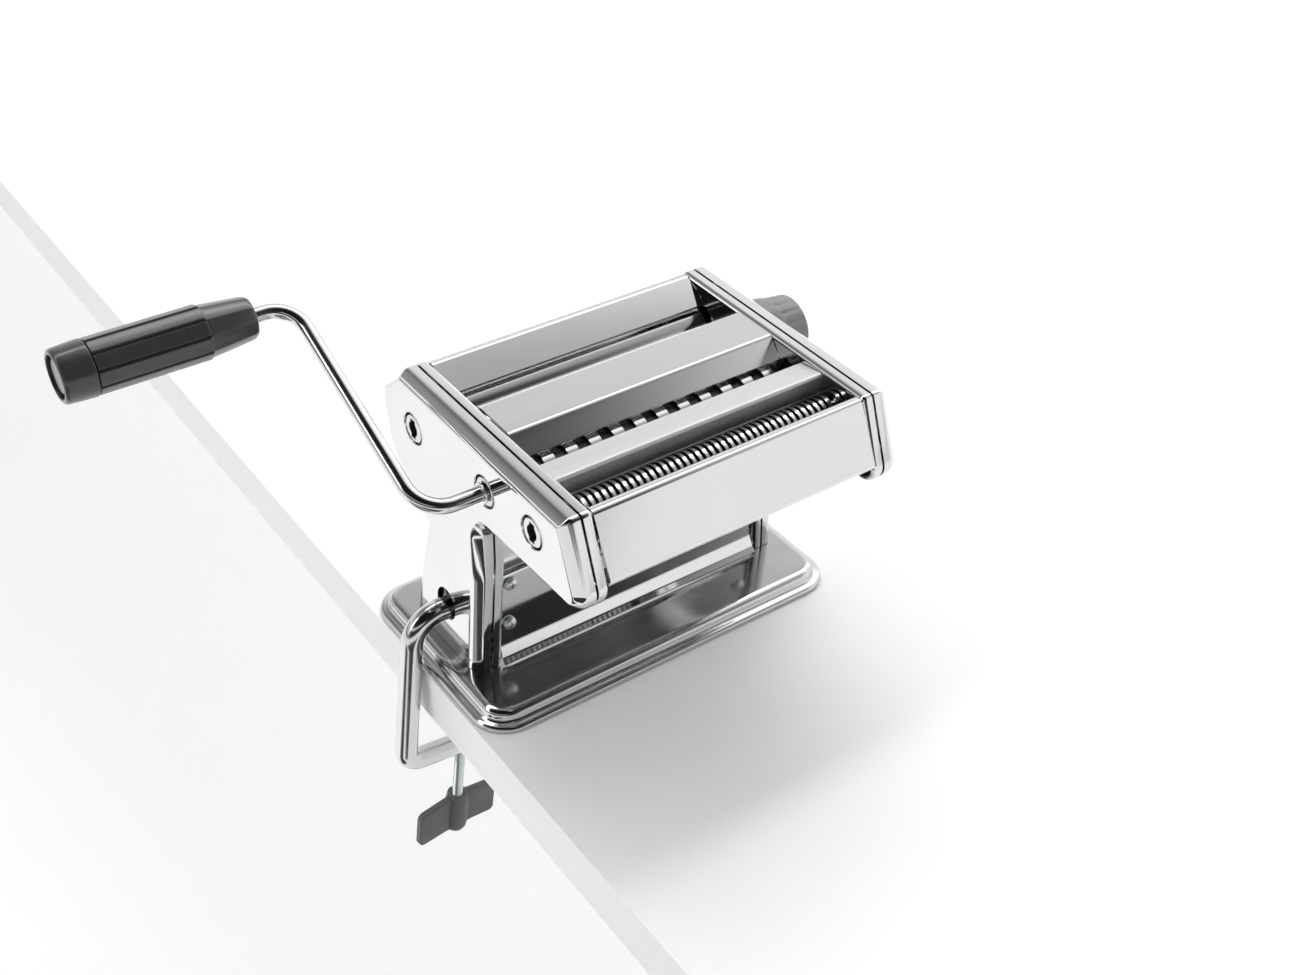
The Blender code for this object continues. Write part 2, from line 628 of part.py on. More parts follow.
# ---------------------------------------------------------------- bearings
for sign, word in ((-1, "left"), (1, "right")):
    x0, x1 = sorted((sign * (FRAME_IN + FRAME_T + 0.3), sign * (FRAME_OUT - 0.2)))
    strip = rounded([(-28.8, 124.6, 5), (-28.6, 141.0, 5), (-103.6, 145.8, 5), (-104.6, 129.6, 5)])
    bearing = slab(word + "_cutter_bearing", [strip] + [ring(5.25, 20, c) for c in (P_WIDE, P_WIDE2, P_NARROW, P_NARROW2)], x0, x1)
    put(bearing)
    finish(bearing, NYLON)
    x0, x1 = sorted((sign * 77.2, sign * (FRAME_OUT - 0.2)))
    bush = slab(word + "_roller_bush", [ring(6.6, 24, P_SMOOTH), ring(5.25, 20, P_SMOOTH)], x0, x1)
    put(bush)
    finish(bush, BRASS)


# ---------------------------------------------------------------- rollers
def smooth_body(radius):
    return [(radius, ROLLER_END), (radius, -ROLLER_END)]


def ringed_body(radius, depth, pitch, first):
    """Rings of one pitch with grooves between; first tells whether the end starts high."""
    count = int(2 * ROLLER_END // pitch)
    start = count * pitch / 2
    points = [(radius - depth, ROLLER_END)]
    for k in range(count):
        top, low = start - k * pitch, start - (k + 1) * pitch
        if (k + first) % 2:
            points += [(radius - depth, top - 0.15), (radius, top - 0.15), (radius, low + 0.15), (radius - depth, low + 0.15)]
    points.append((radius - depth, -ROLLER_END))
    return points


def driven_roller(name, centre, body, steps):
    """Socket wall: the journal is bored from the left, so the profile comes back along the bore."""
    profile = [(0, 82.6), (JOURNAL_R, 82.6), (JOURNAL_R, ROLLER_END)] + body
    profile += [(JOURNAL_R, -ROLLER_END), (JOURNAL_R, -91.0), (SHAFT_END_R, -91.0), (SHAFT_END_R, -93.8),
                (SHAFT_END_R - 0.7, -94.4), (SOCKET_R - 0.8, -94.4), (SOCKET_R - 0.8, -74.0), (0, -74.0)]
    return turned(name, profile, at_x(0, centre), steps)


def mate_roller(name, centre, body, steps):
    profile = [(0, 82.6), (JOURNAL_R, 82.6), (JOURNAL_R, ROLLER_END)] + body
    profile += [(JOURNAL_R, -ROLLER_END), (JOURNAL_R, -91.0), (0, -91.0)]
    return turned(name, profile, at_x(0, centre), steps)


finish(driven_roller("smooth_drive_roller", P_SMOOTH, smooth_body(SMOOTH_R), 32), STEEL)
finish(driven_roller("wide_drive_cutter", P_WIDE, ringed_body(WIDE_R, 1.0, 6.5, 0), 16), STEEL)
finish(mate_roller("wide_mate_cutter", P_WIDE2, ringed_body(WIDE_R, 1.0, 6.5, 1), 16), STEEL)
finish(driven_roller("narrow_drive_cutter", P_NARROW, smooth_body(NARROW_R), 20), STEEL)
finish(mate_roller("narrow_mate_cutter", P_NARROW2, smooth_body(NARROW_R), 20), STEEL)
adjust = turned("smooth_adjust_roller",
                [(0, 82.6), (5.4, 82.6), (5.4, ROLLER_END)] + smooth_body(SMOOTH_R) + [(5.4, -ROLLER_END), (5.4, -91.0), (0, -91.0)],
                at_x(0, P_ADJUST), 32)
finish(adjust, STEEL)

# gears on the crank side, one pair for each pair of rollers
slope = math.atan2(LINE[1], LINE[0])
for a, b, pa, pb, teeth, pitch, bore_a, bore_b, x in (
    ("smooth_drive_gear", "smooth_adjust_gear", P_SMOOTH, P_ADJUST, 18, SMOOTH_PITCH, JOURNAL_R, 5.4, (-90.6, -85.2)),
    ("wide_drive_gear", "wide_mate_gear", P_WIDE, P_WIDE2, 12, WIDE_PITCH, JOURNAL_R, JOURNAL_R, (-90.6, -85.2)),
    ("narrow_drive_gear", "narrow_mate_gear", P_NARROW, P_NARROW2, 12, NARROW_PITCH, JOURNAL_R, JOURNAL_R, (-89.2, -85.2)),
):
    gear(a, teeth, pitch / 2, bore_a + 0.3, x[0], x[1], pa, slope)
    gear(b, teeth, pitch / 2, bore_b + 0.3, x[0], x[1], pb, slope + math.pi + math.pi / teeth)

# ---------------------------------------------------------------- thickness regulator
# two bearing blocks and a tie bar make the carriage of the adjustable roller
CARRIAGE_BAR = on_line(P_ADJUST, 15.6, -12.0)
for sign, word in ((-1, "left"), (1, "right")):
    boss = [on_line(P_ADJUST, a, b) for a, b in ((-8.0, -7.2), (8.0, -7.2), (8.0, 7.2), (-8.0, 7.2))]
    block = slab(word + "_bearing_block", [boss, ring(5.75, 20, P_ADJUST)], sign * 77.0, sign * 82.0)
    put(block)
    plate = [on_line(P_ADJUST, a, b) for a, b in ((-8.6, -9.6), (10.6, -9.6), (13.0, -15.0), (18.4, -15.0), (18.4, 9.6), (-8.6, 9.6))]
    cheek = slab(word + "_block_cheek_part", [plate, ring(5.75, 20, P_ADJUST)], sign * 79.3, sign * 82.8)
    boolean(block, cheek, "UNION")
    boolean(block, rod_x(f"cut_{word}_block_bar", 2.0, sign * 74, sign * 86, CARRIAGE_BAR, 12))
    if sign > 0:
        face = CAM_R + 1.4 + 0.25
        lug = slab("lug_part", [[on_line(P_ADJUST, a, b) for a, b in ((face, -3.0), (face + 3.4, -3.0), (face + 3.4, 3.0), (face, 3.0))]], 82.0, 86.4)
        boolean(block, lug, "UNION")
    finish(block, BRASS)
bar = turned("carriage_tie_bar", [(0, 82.6), (1.7, 82.6), (1.7, 76.6), (2.6, 76.6), (2.6, -76.6), (1.7, -76.6), (1.7, -82.6), (0, -82.6)],
             at_x(0, CARRIAGE_BAR), 12)
finish(bar, ZINC)
# spindle: spiral cam inside, collar under the cover, shaft through it, and a head that holds the spring
spindle = turned("regulator_spindle", [(0, 113.4), (8.6, 113.4), (8.6, 111.6), (3.9, 111.6), (3.9, 93.0), (7.0, 93.0), (7.0, 91.4), (3.9, 91.4),
                                       (3.9, 83.4), (0, 83.4)],
                 at_x(0, P_KNOB), 20)
spiral = []
for k in range(36):
    # angle from the row's front direction, turning against the knob
    a = 2 * math.pi * k / 36
    grow = min(max(a, 0.0), CAM_TURN) if a < math.radians(315) else 0.0
    r = CAM_R + CARRIAGE_TRAVEL * grow / CAM_TURN
    spiral.append(on_line(P_KNOB, r * math.cos(a), r * math.sin(a)))
cam = slab("cam_part", [spiral], 83.4, 86.2)
boolean(spindle, cam, "UNION")
finish(spindle, STEEL)
# knob: a cup that slides on the spindle; its web bears on the spring, its cap closes it
knob = turned("regulator_knob",
              [(15.6, 117.8), (16.2, 117.2), (KNOB_R - 1.6, 104.6), (KNOB_R, 102.6), (KNOB_R, 96.6), (KNOB_R - 0.6, 96.0), (4.3, 96.0),
               (4.3, 99.2), (9.8, 99.2), (9.8, 116.2), (13.6, 116.2), (13.6, 117.8)],
              at_x(0, P_KNOB), 28, closed=True)
finish(knob, GREY)
knob_cap = turned("regulator_knob_cap", [(0, 118.6), (12.4, 118.6), (13.2, 118.0), (13.2, 116.5), (0, 116.5)], at_x(0, P_KNOB), 28)
finish(knob_cap, GREY)
# the spring is drawn at its shortest length, under the spindle's head
spring_points = []
turns, spring_r = 4, 7.0
for k in range(turns * 10 + 1):
    a = 2 * math.pi * k / 10
    spring_points.append((104.4 + 5.9 * k / (turns * 10), P_KNOB[0] + spring_r * math.cos(a), P_KNOB[1] + spring_r * math.sin(a)))
spring = put(tube("knob_spring", spring_points, 0.55, 1))
finish(spring, STEEL)

# ---------------------------------------------------------------- crank
CRANK_ELBOW = -126.5
CRANK_TOP = -129.5
GRIP_Y, GRIP_Z = 73.5, 187.2
path = bend([(Vector((-77.5, *P_WIDE)), 0), (Vector((CRANK_ELBOW, *P_WIDE)), 17.0),
             (Vector((CRANK_TOP, GRIP_Y, GRIP_Z)), 15.0), (Vector((-236.0, GRIP_Y, GRIP_Z)), 0)])
crank = put(tube("crank_rod", path, CRANK_R, 3))
finish(crank, CHROME)
collar = slab("crank_collar", [ring(5.9, 20, P_WIDE), ring(CRANK_R + 0.3, 16, P_WIDE)], -97.6, -95.2)
put(collar)
finish(collar, CHROME)
# grip: neck, ribbed body, and an end cap
grip_axis = (GRIP_Y, GRIP_Z)
grip = turned("grip",
              [(CRANK_R + 0.35, -150.2), (9.0, -150.2), (10.6, -151.6), (12.6, -172.0), (12.9, -174.0), (13.5, -174.3), (13.5, -227.0),
               (CRANK_R + 0.35, -227.0)],
              at_x(0, grip_axis), 28, closed=True)
finish(grip, BLACK)
cap = turned("grip_end_cap",
             [(0, -237.0), (CRANK_R + 0.35, -237.0), (CRANK_R + 0.35, -227.3), (13.6, -227.3), (12.9, -241.2), (11.8, -242.6),
              (9.6, -242.6), (9.2, -240.6), (0, -240.6)],
             at_x(0, grip_axis), 28)
finish(cap, BLACK)

# ---------------------------------------------------------------- table clamp
tilt = Matrix.Rotation(CLAMP_TILT, 4, "Y")
pivot = Vector((-87.1, CLAMP_Y, CLAMP_Z))


def leaned(x, y, z):
    """A point of the upright clamp, leaned outwards about its arm in the leg."""
    return pivot + (tilt.to_3x3() @ (Vector((x, y, z)) - pivot))


ARM_LOW, POST_X, END_X = -67.1, -114.6, -72.5
path = bend([(leaned(-65.0, CLAMP_Y, CLAMP_Z), 0), (leaned(POST_X, CLAMP_Y, CLAMP_Z), 17.0),
             (leaned(POST_X, CLAMP_Y, ARM_LOW), 8.5), (leaned(END_X, CLAMP_Y, ARM_LOW), 0)])
clamp = tube("clamp_frame", path, CLAMP_R, 4)
SCREW_X = -80.5
lean = Matrix.Translation(leaned(SCREW_X, CLAMP_Y, 0) * MM) @ tilt


def upright(profile, name, steps=20):
    return turned(name, profile, lean, steps)


hole = rod_z("cut_clamp_screw", SCREW_R + 0.35, -95, -50, (0, 0), 20)
hole.matrix_world = lean @ hole.matrix_world
hole.matrix_world = lean @ Matrix.Translation((0, 0, -67.1 * MM))
boolean(clamp, hole)
put(clamp)
finish(clamp, CHROME)
finish(upright([(0, -42.9), (SCREW_R, -42.9), (SCREW_R, -124.0), (0, -124.0)], "clamp_screw"), ZINC)
finish(upright([(0, -36.0), (9.4, -36.0), (10.0, -36.8), (10.0, -39.6), (6.0, -40.8), (6.0, -46.6), (SCREW_R + 0.3, -46.6),
                (SCREW_R + 0.3, -42.6), (0, -42.6)], "clamp_pad"), ZINC)
wing = turned("clamp_wing_knob", [(0, -124.4), (SCREW_R + 0.3, -124.4), (SCREW_R + 0.3, -105.0), (5.5, -105.0), (5.5, -108.4),
                                  (4.9, -109.2), (4.9, -129.6), (3.9, -131.2), (0, -131.2)], lean, 20)
wings = bpy.data.curves.new("wing_outline", "CURVE")
wings.dimensions = "2D"
wings.fill_mode = "BOTH"
wings.extrude = 2.2 * MM
spline = wings.splines.new("POLY")
outline = rounded([(-26.0, -131.6, 2), (-26.0, -109.4, 2), (-7.0, -106.6, 3), (-4.4, -106.6, 0), (-4.4, -130.0, 0), (-9.0, -130.0, 3)])
spline.points.add(len(outline) - 1)
for point, xy in zip(spline.points, outline):
    point.co = (xy.x * MM, xy.y * MM, 0, 1)
spline.use_cyclic_u = True
for k in (0, 1):
    flat = bpy.data.objects.new(f"wing_{k}_curve", wings)
    flat.matrix_world = lean @ Matrix.Rotation(math.radians(7) + math.pi * k, 4, "Z") @ Matrix.Rotation(math.pi / 2, 4, "X")
    parts.objects.link(flat)
    blade = to_mesh(flat, f"wing_{k}_part")
    boolean(wing, blade, "UNION")
finish(wing, BLACK)
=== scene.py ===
"""Looks of the hand-cranked pasta machine, in the frame of its CAD model. Metres, +Z up."""

import json
import math

import bmesh
import bpy
from mathutils import Matrix, Vector


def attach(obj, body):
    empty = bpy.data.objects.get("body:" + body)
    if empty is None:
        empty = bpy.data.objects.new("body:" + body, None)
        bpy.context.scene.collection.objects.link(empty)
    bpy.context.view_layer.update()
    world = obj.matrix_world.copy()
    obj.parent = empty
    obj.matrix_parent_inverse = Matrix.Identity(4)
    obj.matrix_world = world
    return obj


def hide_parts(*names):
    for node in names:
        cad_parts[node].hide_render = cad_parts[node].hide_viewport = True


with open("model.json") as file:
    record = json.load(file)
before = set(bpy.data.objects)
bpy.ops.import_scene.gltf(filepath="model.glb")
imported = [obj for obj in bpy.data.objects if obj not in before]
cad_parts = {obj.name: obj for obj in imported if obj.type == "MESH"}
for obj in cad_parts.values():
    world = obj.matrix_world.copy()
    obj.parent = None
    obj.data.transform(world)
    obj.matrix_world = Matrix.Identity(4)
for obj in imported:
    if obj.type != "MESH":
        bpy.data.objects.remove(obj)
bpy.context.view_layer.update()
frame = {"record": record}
MM = 0.001

# ---------------------------------------------------------------- camera, fitted to the photograph
yaw, pitch, roll = math.radians(37.112), math.radians(-37.389), math.radians(2.097)
fwd = Vector((math.sin(yaw) * math.cos(pitch), math.cos(yaw) * math.cos(pitch), math.sin(pitch)))
right = fwd.cross(Vector((0, 0, 1))).normalized()
up = right.cross(fwd)
r = right * math.cos(roll) + up * math.sin(roll)
u = up * math.cos(roll) - right * math.sin(roll)
cam_data = bpy.data.cameras.new("camera")
cam_data.sensor_fit = "HORIZONTAL"
cam_data.sensor_width = 36.0
cam_data.lens = 36.0 * 1651.97 / 1300.0
cam_data.clip_start, cam_data.clip_end = 0.01, 30
camera = bpy.data.objects.new("camera", cam_data)
bpy.context.scene.collection.objects.link(camera)
m = Matrix((r, u, -fwd)).transposed().to_4x4()
m.translation = Vector((-393.52, -558.13, 593.56)) * MM
camera.matrix_world = m
bpy.context.scene.camera = camera


# ---------------------------------------------------------------- materials
def principled(name, colour, rough, metal, coat=0.0, spec=0.5):
    mat = bpy.data.materials.new(name)
    mat.use_nodes = True
    b = mat.node_tree.nodes["Principled BSDF"]
    b.inputs["Base Color"].default_value = (*colour, 1)
    b.inputs["Roughness"].default_value = rough
    b.inputs["Metallic"].default_value = metal
    b.inputs["Coat Weight"].default_value = coat
    b.inputs["Specular IOR Level"].default_value = spec
    return mat


def noise(t, scale, detail, stretch, rough=0.5):
    coord = t.nodes.new("ShaderNodeTexCoord")
    mapping = t.nodes.new("ShaderNodeMapping")
    mapping.inputs["Scale"].default_value = stretch
    tex = t.nodes.new("ShaderNodeTexNoise")
    tex.inputs["Scale"].default_value = scale
    tex.inputs["Detail"].default_value = detail
    tex.inputs["Roughness"].default_value = rough
    t.links.new(coord.outputs["Object"], mapping.inputs["Vector"])
    t.links.new(mapping.outputs["Vector"], tex.inputs["Vector"])
    return tex.outputs["Fac"]


def noise_into(mat, socket, scale, low, high, detail=3.0, stretch=(1, 1, 1), rough=0.5):
    """A procedural value between low and high into a Principled socket, in object coordinates."""
    t = mat.node_tree
    b = t.nodes["Principled BSDF"]
    ramp = t.nodes.new("ShaderNodeMapRange")
    ramp.inputs["From Min"].default_value = 0.3
    ramp.inputs["From Max"].default_value = 0.7
    ramp.inputs["To Min"].default_value = low
    ramp.inputs["To Max"].default_value = high
    t.links.new(noise(t, scale, detail, stretch, rough), ramp.inputs["Value"])
    t.links.new(ramp.outputs["Result"], b.inputs[socket])
    return mat


def colour_noise(mat, scale, dark, light, detail=3.0, stretch=(1, 1, 1)):
    """Base colour that wanders between two colours."""
    t = mat.node_tree
    b = t.nodes["Principled BSDF"]
    mix = t.nodes.new("ShaderNodeMix")
    mix.data_type = "RGBA"
    mix.inputs["A"].default_value = (*dark, 1)
    mix.inputs["B"].default_value = (*light, 1)
    t.links.new(noise(t, scale, detail, stretch), mix.inputs["Factor"])
    t.links.new(mix.outputs["Result"], b.inputs["Base Color"])
    return mat


def bump(mat, scale, strength, distance, detail=3.0, stretch=(1, 1, 1)):
    t = mat.node_tree
    b = t.nodes["Principled BSDF"]
    bumper = t.nodes.new("ShaderNodeBump")
    bumper.inputs["Strength"].default_value = strength
    bumper.inputs["Distance"].default_value = distance
    t.links.new(noise(t, scale, detail, stretch), bumper.inputs["Height"])
    t.links.new(bumper.outputs["Normal"], b.inputs["Normal"])
    return mat


# polished chrome: faint haze and wipe marks
CHROME = noise_into(principled("chrome", (0.76, 0.76, 0.765), 0.06, 1.0), "Roughness", 22, 0.035, 0.085, 4.0, (1, 1, 2.5))
colour_noise(CHROME, 30, (0.73, 0.73, 0.735), (0.78, 0.78, 0.785))
# bent rod: a softer polish than the sheets
ROD = noise_into(principled("polished_rod", (0.68, 0.68, 0.685), 0.14, 1.0), "Roughness", 30, 0.11, 0.17, 4.0, (1, 1, 1))
colour_noise(ROD, 40, (0.64, 0.64, 0.645), (0.71, 0.71, 0.715))
# pressed tray: polished, with a light haze from wiping
TRAY_CHROME = noise_into(principled("tray_chrome", (0.66, 0.66, 0.665), 0.13, 1.0), "Roughness", 35, 0.09, 0.18, 5.0, (1, 2, 1))
colour_noise(TRAY_CHROME, 60, (0.62, 0.62, 0.625), (0.7, 0.7, 0.705), 4.0)
# brushed sheet: grain along the rollers
BRUSHED = noise_into(principled("brushed_steel", (0.7, 0.7, 0.71), 0.26, 1.0), "Roughness", 60, 0.46, 0.6, 4.0, (0.04, 1, 1))
colour_noise(BRUSHED, 400, (0.64, 0.64, 0.65), (0.78, 0.78, 0.79), 2.0, (0.012, 1, 1))
bump(BRUSHED, 2500, 0.06, 0.00004, 2.0, (0.012, 1, 1))
SATIN = noise_into(principled("satin_steel", (0.8, 0.8, 0.805), 0.17, 1.0), "Roughness", 60, 0.12, 0.22, 4.0, (0.05, 1, 1))
colour_noise(SATIN, 60, (0.62, 0.62, 0.625), (0.71, 0.71, 0.715), 2.0, (0.1, 1, 1))
# dark steel for the cutter grooves: painted shade between the discs
GROOVE_SHADE = noise_into(principled("groove_painted_shade", (0.1, 0.1, 0.102), 0.5, 1.0), "Roughness", 70, 0.42, 0.6)
colour_noise(GROOVE_SHADE, 90, (0.07, 0.07, 0.072), (0.14, 0.14, 0.142))
STEEL = noise_into(principled("plain_steel", (0.55, 0.55, 0.56), 0.32, 1.0), "Roughness", 60, 0.26, 0.42)
colour_noise(STEEL, 80, (0.36, 0.36, 0.37), (0.48, 0.48, 0.49))
ZINC = noise_into(principled("zinc", (0.6, 0.66, 0.64), 0.32, 1.0), "Roughness", 60, 0.28, 0.44)
colour_noise(ZINC, 120, (0.66, 0.73, 0.7), (0.8, 0.86, 0.83))
BRASS = noise_into(principled("brass", (0.72, 0.53, 0.26), 0.3, 1.0), "Roughness", 60, 0.25, 0.4)
colour_noise(BRASS, 90, (0.64, 0.46, 0.2), (0.76, 0.58, 0.3))
NYLON = noise_into(principled("nylon", (0.66, 0.64, 0.58), 0.45, 0.0), "Roughness", 50, 0.4, 0.55)
colour_noise(NYLON, 50, (0.6, 0.58, 0.52), (0.7, 0.68, 0.62))
# moulded plastics: fine grain with a low sheen
BLACK = bump(noise_into(principled("dark_plastic", (0.04, 0.041, 0.043), 0.3, 0.0, 0.55), "Roughness", 40, 0.26, 0.32), 1400, 0.08, 0.00004)
BLACK.node_tree.nodes["Principled BSDF"].inputs["Coat Roughness"].default_value = 0.16
colour_noise(BLACK, 60, (0.03, 0.031, 0.033), (0.037, 0.038, 0.04))
WING = bump(noise_into(principled("wing_plastic", (0.1, 0.1, 0.105), 0.5, 0.0), "Roughness", 90, 0.45, 0.6), 1400, 0.15, 0.00006)
colour_noise(WING, 60, (0.085, 0.085, 0.088), (0.12, 0.12, 0.123))
GREY = bump(noise_into(principled("grey_plastic", (0.3, 0.3, 0.305), 0.45, 0.0), "Roughness", 90, 0.36, 0.52), 1400, 0.15, 0.00006)
colour_noise(GREY, 60, (0.17, 0.17, 0.175), (0.22, 0.22, 0.225))

OF = {"chrome_steel": CHROME, "sheet_steel": STEEL, "roller_steel": SATIN, "gear_steel": STEEL, "zinc_plated": ZINC,
      "brass": BRASS, "bearing_plastic": NYLON, "dark_plastic": BLACK, "grey_plastic": GREY}
SLOT_OF, BODY_OF = {}, {}
for row in frame["record"]["subparts"]:
    SLOT_OF[row["node"]] = row["material_slot"]
    obj = bpy.data.objects.get(row["node"])
    if obj is None:
        continue
    if not obj.data.materials:
        obj.data.materials.append(None)
    for k in range(len(obj.material_slots)):
        obj.material_slots[k].link = "OBJECT"
        obj.material_slots[k].material = OF[row["material_slot"]]
for body, names in frame["record"]["behaviour"]["bodies"].items():
    for name in names:
        BODY_OF[name] = body


# ---------------------------------------------------------------- making pieces
def flush(obj):
    """The piece with its modifiers applied."""
    bpy.context.view_layer.update()
    graph = bpy.context.evaluated_depsgraph_get()
    mesh = bpy.data.meshes.new_from_object(obj.evaluated_get(graph))
    old = obj.data
    if obj.type == "MESH":
        obj.modifiers.clear()
        obj.data = mesh
        return obj
    new = bpy.data.objects.new(obj.name, mesh)
    new.matrix_world = obj.matrix_world.copy()
    name = obj.name
    bpy.data.objects.remove(obj, do_unlink=True)
    new.name = name
    bpy.context.scene.collection.objects.link(new)
    return new


def into_scene(name, mesh):
    obj = bpy.data.objects.new(name, mesh)
    bpy.context.scene.collection.objects.link(obj)
    return obj


def dress(obj, mat, nodes, body=None, angle=35, weighted=True):
    """Material, shading, body and the nodes that the piece stands for."""
    obj.data.materials.clear()
    obj.data.materials.append(mat)
    obj.data.shade_smooth()
    obj.data.set_sharp_from_angle(angle=math.radians(angle))
    if weighted:
        mod = obj.modifiers.new("normals", "WEIGHTED_NORMAL")
        mod.weight = 100
        mod.keep_sharp = True
        mod.mode = "FACE_AREA"
    if nodes:
        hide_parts(*nodes)
    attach(obj, body or BODY_OF[nodes[0]])
    return obj


def cut(obj, cutters):
    for other in cutters:
        mod = obj.modifiers.new("cut", "BOOLEAN")
        mod.operation = "DIFFERENCE"
        mod.solver = "EXACT"
        mod.object = other
    obj = flush(obj)
    for other in cutters:
        bpy.data.objects.remove(other, do_unlink=True)
    return obj


def mesh_from(name, bm):
    bmesh.ops.recalc_face_normals(bm, faces=bm.faces)
    mesh = bpy.data.meshes.new(name)
    bm.to_mesh(mesh)
    bm.free()
    return mesh


def rounded(points, step=math.radians(6)):
    """Corner points (a, b, radius) as a closed outline with arcs."""
    out = []
    n = len(points)
    for i, (a, b, radius) in enumerate(points):
        here = Vector((a, b))
        if radius <= 0:
            out.append(here)
            continue
        before = Vector(points[i - 1][:2]) - here
        after = Vector(points[(i + 1) % n][:2]) - here
        turn = math.pi - before.angle(after)
        reach = min(radius * math.tan(turn / 2), 0.49 * before.length, 0.49 * after.length)
        rr = reach / math.tan(turn / 2)
        start, end = here + before.normalized() * reach, here + after.normalized() * reach
        centre = here + (before.normalized() + after.normalized()).normalized() * (rr / math.cos(turn / 2))
        count = max(2, math.ceil(turn / step))
        a0 = start - centre
        sign = 1 if a0.x * (end - centre).y - a0.y * (end - centre).x > 0 else -1
        for k in range(count + 1):
            angle = sign * turn * k / count
            c, s = math.cos(angle), math.sin(angle)
            out.append(centre + Vector((a0.x * c - a0.y * s, a0.x * s + a0.y * c)))
    return out


def ring(radius, count, centre=(0, 0), start=0.0):
    return [Vector((centre[0] + radius * math.cos(start + 2 * math.pi * k / count),
                    centre[1] + radius * math.sin(start + 2 * math.pi * k / count))) for k in range(count)]


def prism(name, outline, x0, x1):
    """A flat outline (y, z) in mm as a prism along X, with plain end caps."""
    bm = bmesh.new()
    a = [bm.verts.new((x0 * MM, p[0] * MM, p[1] * MM)) for p in outline]
    b = [bm.verts.new((x1 * MM, p[0] * MM, p[1] * MM)) for p in outline]
    n = len(a)
    for i in range(n):
        j = (i + 1) % n
        bm.faces.new((a[i], a[j], b[j], b[i]))
    bm.faces.new(a[::-1])
    bm.faces.new(b)
    return into_scene(name, mesh_from(name, bm))


def lathe(name, profile, place, steps=96, closed=False):
    """A turned piece: profile (radius, height) in mm down the outer side, on the local Z of place."""
    bm = bmesh.new()
    loops = []
    for rad, h in profile:
        if rad < 1e-6:
            loops.append([bm.verts.new((0, 0, h * MM))])
        else:
            loops.append([bm.verts.new((rad * MM * math.cos(2 * math.pi * k / steps), rad * MM * math.sin(2 * math.pi * k / steps), h * MM))
                          for k in range(steps)])
    pairs = list(zip(loops, loops[1:]))
    if closed:
        pairs.append((loops[-1], loops[0]))
    for a, b in pairs:
        for k in range(steps):
            j = (k + 1) % steps
            if len(a) == 1 and len(b) == 1:
                break
            if len(a) == 1:
                bm.faces.new((a[0], b[k], b[j]))
            elif len(b) == 1:
                bm.faces.new((a[k], b[0], a[j]))
            else:
                bm.faces.new((a[k], b[k], b[j], a[j]))
    bm.transform(place)
    return into_scene(name, mesh_from(name, bm))


def at_x(x, centre, towards=1):
    turn = Matrix.Rotation(math.pi / 2 * towards, 4, "Y")
    return Matrix.Translation((x * MM, centre[0] * MM, centre[1] * MM)) @ turn


def rod_x(radius, x0, x1, centre, count=64):
    return prism("cutter", ring(radius, count, centre), x0, x1)


def folded(points, step=math.radians(9)):
    """An open line of corner points (y, z, radius) with arcs at the folds."""
    out = []
    for i, (a, b, radius) in enumerate(points):
        here = Vector((a, b))
        if radius <= 0 or i in (0, len(points) - 1):
            out.append(here)
            continue
        before, after = Vector(points[i - 1][:2]) - here, Vector(points[i + 1][:2]) - here
        turn = math.pi - before.angle(after)
        reach = min(radius * math.tan(turn / 2), 0.45 * before.length, 0.45 * after.length)
        rr = reach / math.tan(turn / 2)
        start, end = here + before.normalized() * reach, here + after.normalized() * reach
        centre = here + (before.normalized() + after.normalized()).normalized() * (rr / math.cos(turn / 2))
        count = max(2, math.ceil(turn / step))
        a0 = start - centre
        sign = 1 if a0.x * (end - centre).y - a0.y * (end - centre).x > 0 else -1
        for k in range(count + 1):
            angle = sign * turn * k / count
            c, s = math.cos(angle), math.sin(angle)
            out.append(centre + Vector((a0.x * c - a0.y * s, a0.x * s + a0.y * c)))
    return out


def sheet_outline(line, thickness):
    """Both sides of a folded sheet as one closed outline, with its edges eased."""
    n = len(line)
    left, right_side = [], []
    for i, p in enumerate(line):
        a = (line[i] - line[i - 1]).normalized() if i else (line[1] - line[0]).normalized()
        b = (line[i + 1] - line[i]).normalized() if i < n - 1 else a
        t = (a + b).normalized()
        nrm = Vector((-t.y, t.x)) * (thickness / 2 / max(0.5, t.dot(a)))
        left.append(p + nrm)
        right_side.append(p - nrm)
    first, last = (line[1] - line[0]).normalized(), (line[-1] - line[-2]).normalized()
    e = thickness * 0.25
    out = [left[0] + first * e] + left[1:-1] + [left[-1] - last * e]
    out += [left[-1] * 0.75 + right_side[-1] * 0.25, left[-1] * 0.25 + right_side[-1] * 0.75, right_side[-1] - last * e]
    out += right_side[1:-1][::-1] + [right_side[0] + first * e, right_side[0] * 0.75 + left[0] * 0.25, right_side[0] * 0.25 + left[0] * 0.75]
    return out


def sheet(name, points, thickness, x0, x1, mat, leaning=False, round_end=0.0):
    obj = prism(name, sheet_outline(folded(points), thickness), x0, x1)
    if leaning:
        for v in obj.data.vertices:
            v.co.x += math.copysign(splay(v.co.z / MM), v.co.x) * MM
    return dress(obj, mat, [name.replace("_look", "")])


